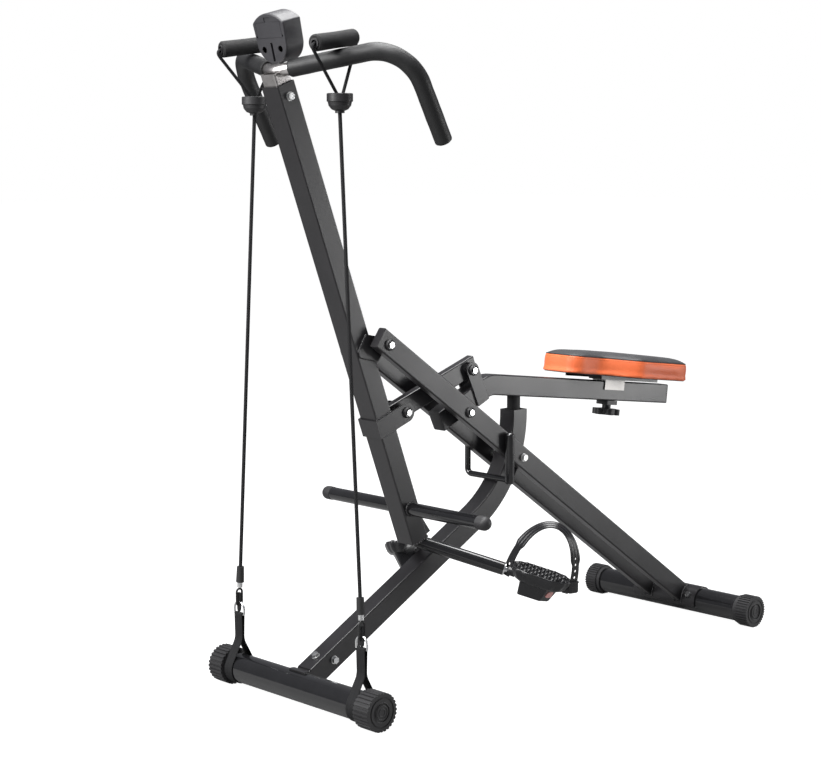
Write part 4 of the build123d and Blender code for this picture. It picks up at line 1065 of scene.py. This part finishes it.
def makePegEnds(s):
    # a domed rubber cap over each end of the foot-peg bar, turned from its outline
    low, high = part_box("peg_bar")
    middle = middleOf("peg_bar")
    dome = np.linspace(0, math.pi / 2, 12)
    profile = [(-s["long"] - s["radius"], s["radius"] - 0.0010), (-s["long"] - s["radius"] + 0.0005, s["radius"])]
    profile += list(zip(s["radius"] * np.sin(dome) - s["radius"], s["radius"] * np.cos(dome) * 0.999 + 0.0001))
    for side, place in sidesOf.items():
        end = np.array([middle[0], low[1] - 0.0004, middle[2]])
        dressed(skin(side + "PegCap", place(turned(end, [0, -1, 0], profile, 36))), finishes["cap"], "mast", "cap_plastic")


def beadAlong(points, s, closed=False):
    # a rope of overlapping ripples: the radius rises and falls with a rectified sine along the seam
    points = np.asarray(points, float)
    if closed:
        points = np.vstack([points, points[:1]])
    length = np.append(0, np.cumsum(np.linalg.norm(np.diff(points, axis=0), axis=1)))
    spots = np.linspace(0, length[-1], int(length[-1] / (s["pitch"] / 5)) + 2)
    path = np.stack([np.interp(spots, length, points[:, k]) for k in range(3)], -1)
    ripple = 0.80 + 0.28 * np.abs(np.sin(spots / s["pitch"] * math.pi))
    way = np.gradient(path, axis=0)
    side = np.where(np.abs(way[:, 1:2]) > 0.9 * np.linalg.norm(way, axis=1)[:, None], [[1.0, 0, 0.1]], [[0.02, 1.0, 0.03]])
    return carried(path, roundProfile(s["radius"], 10), side, ripple * roundedEnds(path, 0.002))


def circleAround(middle, axis, radius, count=48):
    return turned(middle, axis, [(0, radius)], count)[0]


def makeWelds(s):
    peg = middleOf("peg_bar")
    mastHalf, rockerHalf = 0.025, 0.017
    mastBeads, rockerBeads, frameBeads = [], [], []
    for side, place in sidesOf.items():
        mastBeads.append(beadAlong(place(circleAround(peg - crossWay * (mastHalf + 0.0005), crossWay, 0.0145)), s, True))
        foot = mastPivot - mastBack * 0.0422 - mastUp * 0.437
        edge = [foot - mastBack * 0.0225, foot - mastBack * 0.008 - mastUp * 0.002, foot + mastBack * 0.010 - mastUp * 0.002,
                foot + mastBack * 0.0225]
        mastBeads.append(beadAlong(place(np.array(edge) - crossWay * mastHalf), s))
        collar = mastPivot - mastBack * 0.0422 - mastUp * 0.164
        for level in (0.020, -0.020):
            seam = [collar - mastBack * 0.0225 + mastUp * level - crossWay * (mastHalf + 0.0005),
                    collar + mastBack * 0.0220 + mastUp * level - crossWay * (mastHalf + 0.0005)]
            mastBeads.append(beadAlong(place(seam), s))
        cheek = mastPivot - mastBack * 0.0197
        seam = [cheek - mastBack * 0.041 + mastUp * 0.008, cheek - mastBack * 0.008 + mastUp * 0.034]
        mastBeads.append(beadAlong(place(np.array(seam) - crossWay * (mastHalf + 0.0005)), s))
        seam = [cheek - mastBack * 0.041 - mastUp * 0.002, cheek - mastUp * 0.030]
        mastBeads.append(beadAlong(place(np.array(seam) - crossWay * (mastHalf + 0.0005)), s))
        rise = heading(24.8)
        top = heading(114.8)
        end = pivotOf("seat_lift") + rise * 0.092
        seam = [end - rise * 0.034 - top * 0.0222, end - rise * 0.034 + top * 0.0222]
        rockerBeads.append(beadAlong(place(np.array(seam) - crossWay * (rockerHalf + 0.0005)), s))
        seam = [end + rise * 0.0006 - top * 0.0222, end + rise * 0.0006 + top * 0.0222]
        rockerBeads.append(beadAlong(place(np.array(seam) - crossWay * (rockerHalf + 0.0012)), s))
    seam = end + top * 0.0224 + np.linspace(-1, 1, 5)[:, None] * crossWay * rockerHalf + rise * 0.0006
    rockerBeads.append(beadAlong(seam, s))
    beamEnd = middleOf("rear_crossbar")
    for side, place in sidesOf.items():
        for face in (0.035, 0.056):
            seam = beamEnd + turned([0, 0, 0], crossWay, [(0, 0.0343)], 60)[0]
            reach = seam - beamEnd
            along = unit(mastPivot * [1, 0, 1] - beamEnd * [1, 0, 1])
            near = reach @ along > 0.0240
            ordered = seam[near][np.argsort((reach @ np.cross(along, crossWay))[near])]
            frameBeads.append(beadAlong(place(ordered - crossWay * face), s))
    dressed(skin("mastWelds", mastBeads), finishes["bead"], "mast", "powder_black")
    dressed(skin("rockerWelds", rockerBeads), finishes["bead"], "rocker", "powder_black")
    dressed(skin("frameWelds", frameBeads), finishes["bead"], "frame", "powder_black")


cupSet = {"inner": 0.0088, "outer": 0.0112, "tall": 0.0052, "head": 0.0075}


def makeBoltCups(s):
    # a moulded ring round each pivot bolt's head and nut, turned from its wall's outline
    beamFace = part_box("beam_near")[0][1]
    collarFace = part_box("mast_bolts")[0][1] + s["head"]
    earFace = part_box("link_bolt")[0][1] + s["head"]
    linkFront, linkRear = pivotOf("link_swing"), middleOf("link_bolt")
    spots = [("pivot", "frame", [(mastPivot, beamFace), (pivotOf("seat_lift"), beamFace)]),
             ("link", "mast", [(linkFront, collarFace)]), ("ear", "rocker", [(linkRear, earFace)])]
    wall = [(-0.0004, s["outer"] + 0.0006), (s["tall"] - 0.0012, s["outer"]), (s["tall"], s["outer"] - 0.0008),
            (s["tall"], s["inner"] + 0.0005), (s["tall"] - 0.0006, s["inner"]), (-0.0004, s["inner"])]
    for name, body, places in spots:
        grids = []
        for side, place in sidesOf.items():
            for point, face in places:
                grids.append(place(turned([point[0], face, point[2]], [0, -1, 0], wall, 36)))
        dressed(skin(name + "BoltCups", grids, loop=True, sharpness=35), finishes["cap"], body, "powder_black")


eyeSet = {"foot": (-0.57167, -0.192, 0.178), "wide": 0.0118, "deep": 0.0066, "start": -0.0225, "end": 0.020}
ringSet = {"radii": (0.0075, 0.0135, 0.0195), "wide": 0.0009, "tall": 0.0009}
hookSet = {"post": 0.0100}
plugSet = {"reach": 0.047, "wide": 0.0338, "tall": 0.0448}


def makeRopeEyes(s):
    # the rope's folded end: two strands side by side, pinched between them, round at the ring
    foot = np.array(s["foot"])
    run = unit(np.array(ropeSet["head"]) - ropeSet["foot"])
    turn = np.arange(32) / 32 * 2 * np.pi
    pinch = 1 - 0.28 * np.exp(-(np.cos(turn) / 0.28) ** 2)
    profile = np.stack([np.cos(turn) * s["wide"] / 2, np.sin(turn) * s["deep"] / 2 * pinch], -1)
    path = foot + run * np.linspace(s["start"] + 0.0025, s["end"], 26)[:, None]
    far = np.clip((np.arange(26) + 0.15) / 5, 0, 1)
    size = np.stack([0.35 + 0.65 * np.sqrt(1 - (1 - far) ** 2), 0.75 + 0.25 * far], -1)
    for side, place in sidesOf.items():
        grid = carried(path, profile, crossWay, size)
        dressed(skin(side + "RopeEye", place(grid)), finishes["rope"], "frame", "rope_black")


def makeCapRings(s):
    # raised rings on the flat end of each crossbar cap, turned from a rounded section
    for bar, end in (("front_cap_near", "front"), ("rear_cap_near", "rear")):
        low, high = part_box(bar)
        middle = middleOf(bar)
        grids = []
        for side, place in sidesOf.items():
            for radius in s["radii"]:
                wall = [(-0.0006, radius + s["wide"]), (s["tall"] * 0.7, radius + s["wide"] * 0.8), (s["tall"], radius),
                        (s["tall"] * 0.7, radius - s["wide"] * 0.8), (-0.0006, radius - s["wide"])]
                grids.append(place(turned([middle[0], low[1], middle[2]], [0, -1, 0], wall, 40)))
        dressed(skin(end + "CapRings", grids, loop=True), finishes["cap"], "frame", "cap_plastic")


def makeRockerPlug(s):
    # a moulded plug that closes the rocker tube's open front end, its rim eased and its face slightly domed
    rise, top = heading(24.8), heading(114.8)
    start = pivotOf("seat_lift") - rise * s["reach"]
    shape = softBox(s["wide"], s["tall"], 14.0, 64)
    shares = np.array([0.93, 0.93, 1.0, 1.0, 0.97, 0.90, 0.5])
    levels = np.array([-0.008, 0.0, 0.0002, 0.0014, 0.0020, 0.0023, 0.0026])
    flat = shape[None] * shares[:, None, None]
    grid = start + flat[..., 0, None] * crossWay + flat[..., 1, None] * top - levels[:, None, None] * rise
    dressed(skin("rockerPlug", grid, sharpness=30), finishes["cap"], "rocker", "cap_plastic")


def makeHookEnds(s):
    # rounded ends on the hook's post, which is bent from one round bar
    low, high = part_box("hook_bar")
    x, y = (low[0] + high[0]) / 2, low[1] + s["post"]
    dome = np.linspace(0, math.pi / 2, 10)
    profile = list(zip(s["post"] * np.sin(dome) * 0.7, s["post"] * np.cos(dome) * 0.999))
    grids = [turned([x, y, high[2] - 0.0004], [0, 0, 1], [(-0.001, s["post"])] + profile, 32),
             turned([x, y, low[2] + 0.0030], [0, 0, -1], [(-0.001, s["post"])] + profile, 32)]
    dressed(skin("hookEnds", grids), finishes["gloss"], "frame", "gloss_black")


makePegEnds(pegSet)
makeWelds(weldSet)
makeBoltCups(cupSet)
makeRopeEyes(eyeSet)
makeCapRings(ringSet)
makeHookEnds(hookSet)
makeRockerPlug(plugSet)
print("trim made")


# floor, light and sky

def makeStage():
    span = 40.0
    corner = np.array([(-span, -span, 0), (span, -span, 0), (span, span, 0), (-span, span, 0)])
    mesh = bpy.data.meshes.new("studioFloor")
    mesh.from_pydata(corner.tolist(), [], [(0, 1, 2, 3)])
    floor = bpy.data.objects.new("studioFloor", mesh)
    bpy.context.scene.collection.objects.link(floor)
    material, tree, shader, place = startMaterial("paleFloor")
    node = placeGroup(tree, "grain", place.outputs["Object"], Grain_Scale=60.0, Blotch_Scale=0.6)
    tree.links.new(blendColours(tree, node.outputs["Blotch"], (0.20, 0.20, 0.20), (0.24, 0.24, 0.24)),
                   shader.inputs["Base Color"])
    shader.inputs["Roughness"].default_value = 0.8
    glow = tree.nodes.new("ShaderNodeEmission")
    glow.inputs["Color"].default_value = (1, 1, 1, 1)
    glow.inputs["Strength"].default_value = 0.95
    rays = tree.nodes.new("ShaderNodeLightPath")
    mixed = tree.nodes.new("ShaderNodeMixShader")
    total = tree.nodes.new("ShaderNodeAddShader")
    tree.links.new(shader.outputs[0], total.inputs[0])
    tree.links.new(glow.outputs[0], total.inputs[1])
    tree.links.new(rays.outputs["Is Camera Ray"], mixed.inputs[0])
    tree.links.new(shader.outputs[0], mixed.inputs[1])
    tree.links.new(total.outputs[0], mixed.inputs[2])
    tree.links.new(mixed.outputs[0], tree.nodes["Material Output"].inputs["Surface"])
    mesh.materials.append(material)


def makeLight(name, place, aim, width, height, power):
    data = bpy.data.lights.new(name, "AREA")
    data.shape = "RECTANGLE"
    data.size, data.size_y = width, height
    data.energy = power
    light = bpy.data.objects.new(name, data)
    bpy.context.scene.collection.objects.link(light)
    light.location = place
    light.rotation_mode = "QUATERNION"
    light.rotation_quaternion = (Vector(aim) - Vector(place)).to_track_quat("-Z", "Y")


def makeSky():
    # a plain white room: full white to the eye, and dimmer in what shines back from the paint
    world = bpy.data.worlds.new("studioWhite")
    bpy.context.scene.world = world
    world.use_nodes = True
    tree = world.node_tree
    tree.nodes.clear()
    seen = tree.nodes.new("ShaderNodeBackground")
    seen.inputs["Color"].default_value = (1, 1, 1, 1)
    seen.inputs["Strength"].default_value = 1.0
    lit = tree.nodes.new("ShaderNodeBackground")
    lit.inputs["Color"].default_value = (0.92, 0.93, 1.0, 1)
    lit.inputs["Strength"].default_value = 0.22
    rays = tree.nodes.new("ShaderNodeLightPath")
    mix = tree.nodes.new("ShaderNodeMixShader")
    out = tree.nodes.new("ShaderNodeOutputWorld")
    tree.links.new(rays.outputs["Is Camera Ray"], mix.inputs[0])
    tree.links.new(lit.outputs[0], mix.inputs[1])
    tree.links.new(seen.outputs[0], mix.inputs[2])
    tree.links.new(mix.outputs[0], out.inputs["Surface"])


makeStage()
makeSky()
makeLight("frontSoftbox", (-3.6, 0.9, 2.3), (0, 0, 0.6), 1.8, 2.6, 170)
makeLight("overSoftbox", (-1.5, -0.5, 3.5), (-0.3, 0, 0.3), 1.0, 2.4, 130)
makeLight("topSoftbox", (0.5, 0.5, 4.0), (0.1, 0, 0.5), 2.4, 2.0, 150)
makeLight("sideSoftbox", (3.4, -2.9, 0.75), (0.1, 0, 0.5), 1.5, 1.5, 60)
bpy.context.scene.view_settings.view_transform = "Standard"

print("stage made")
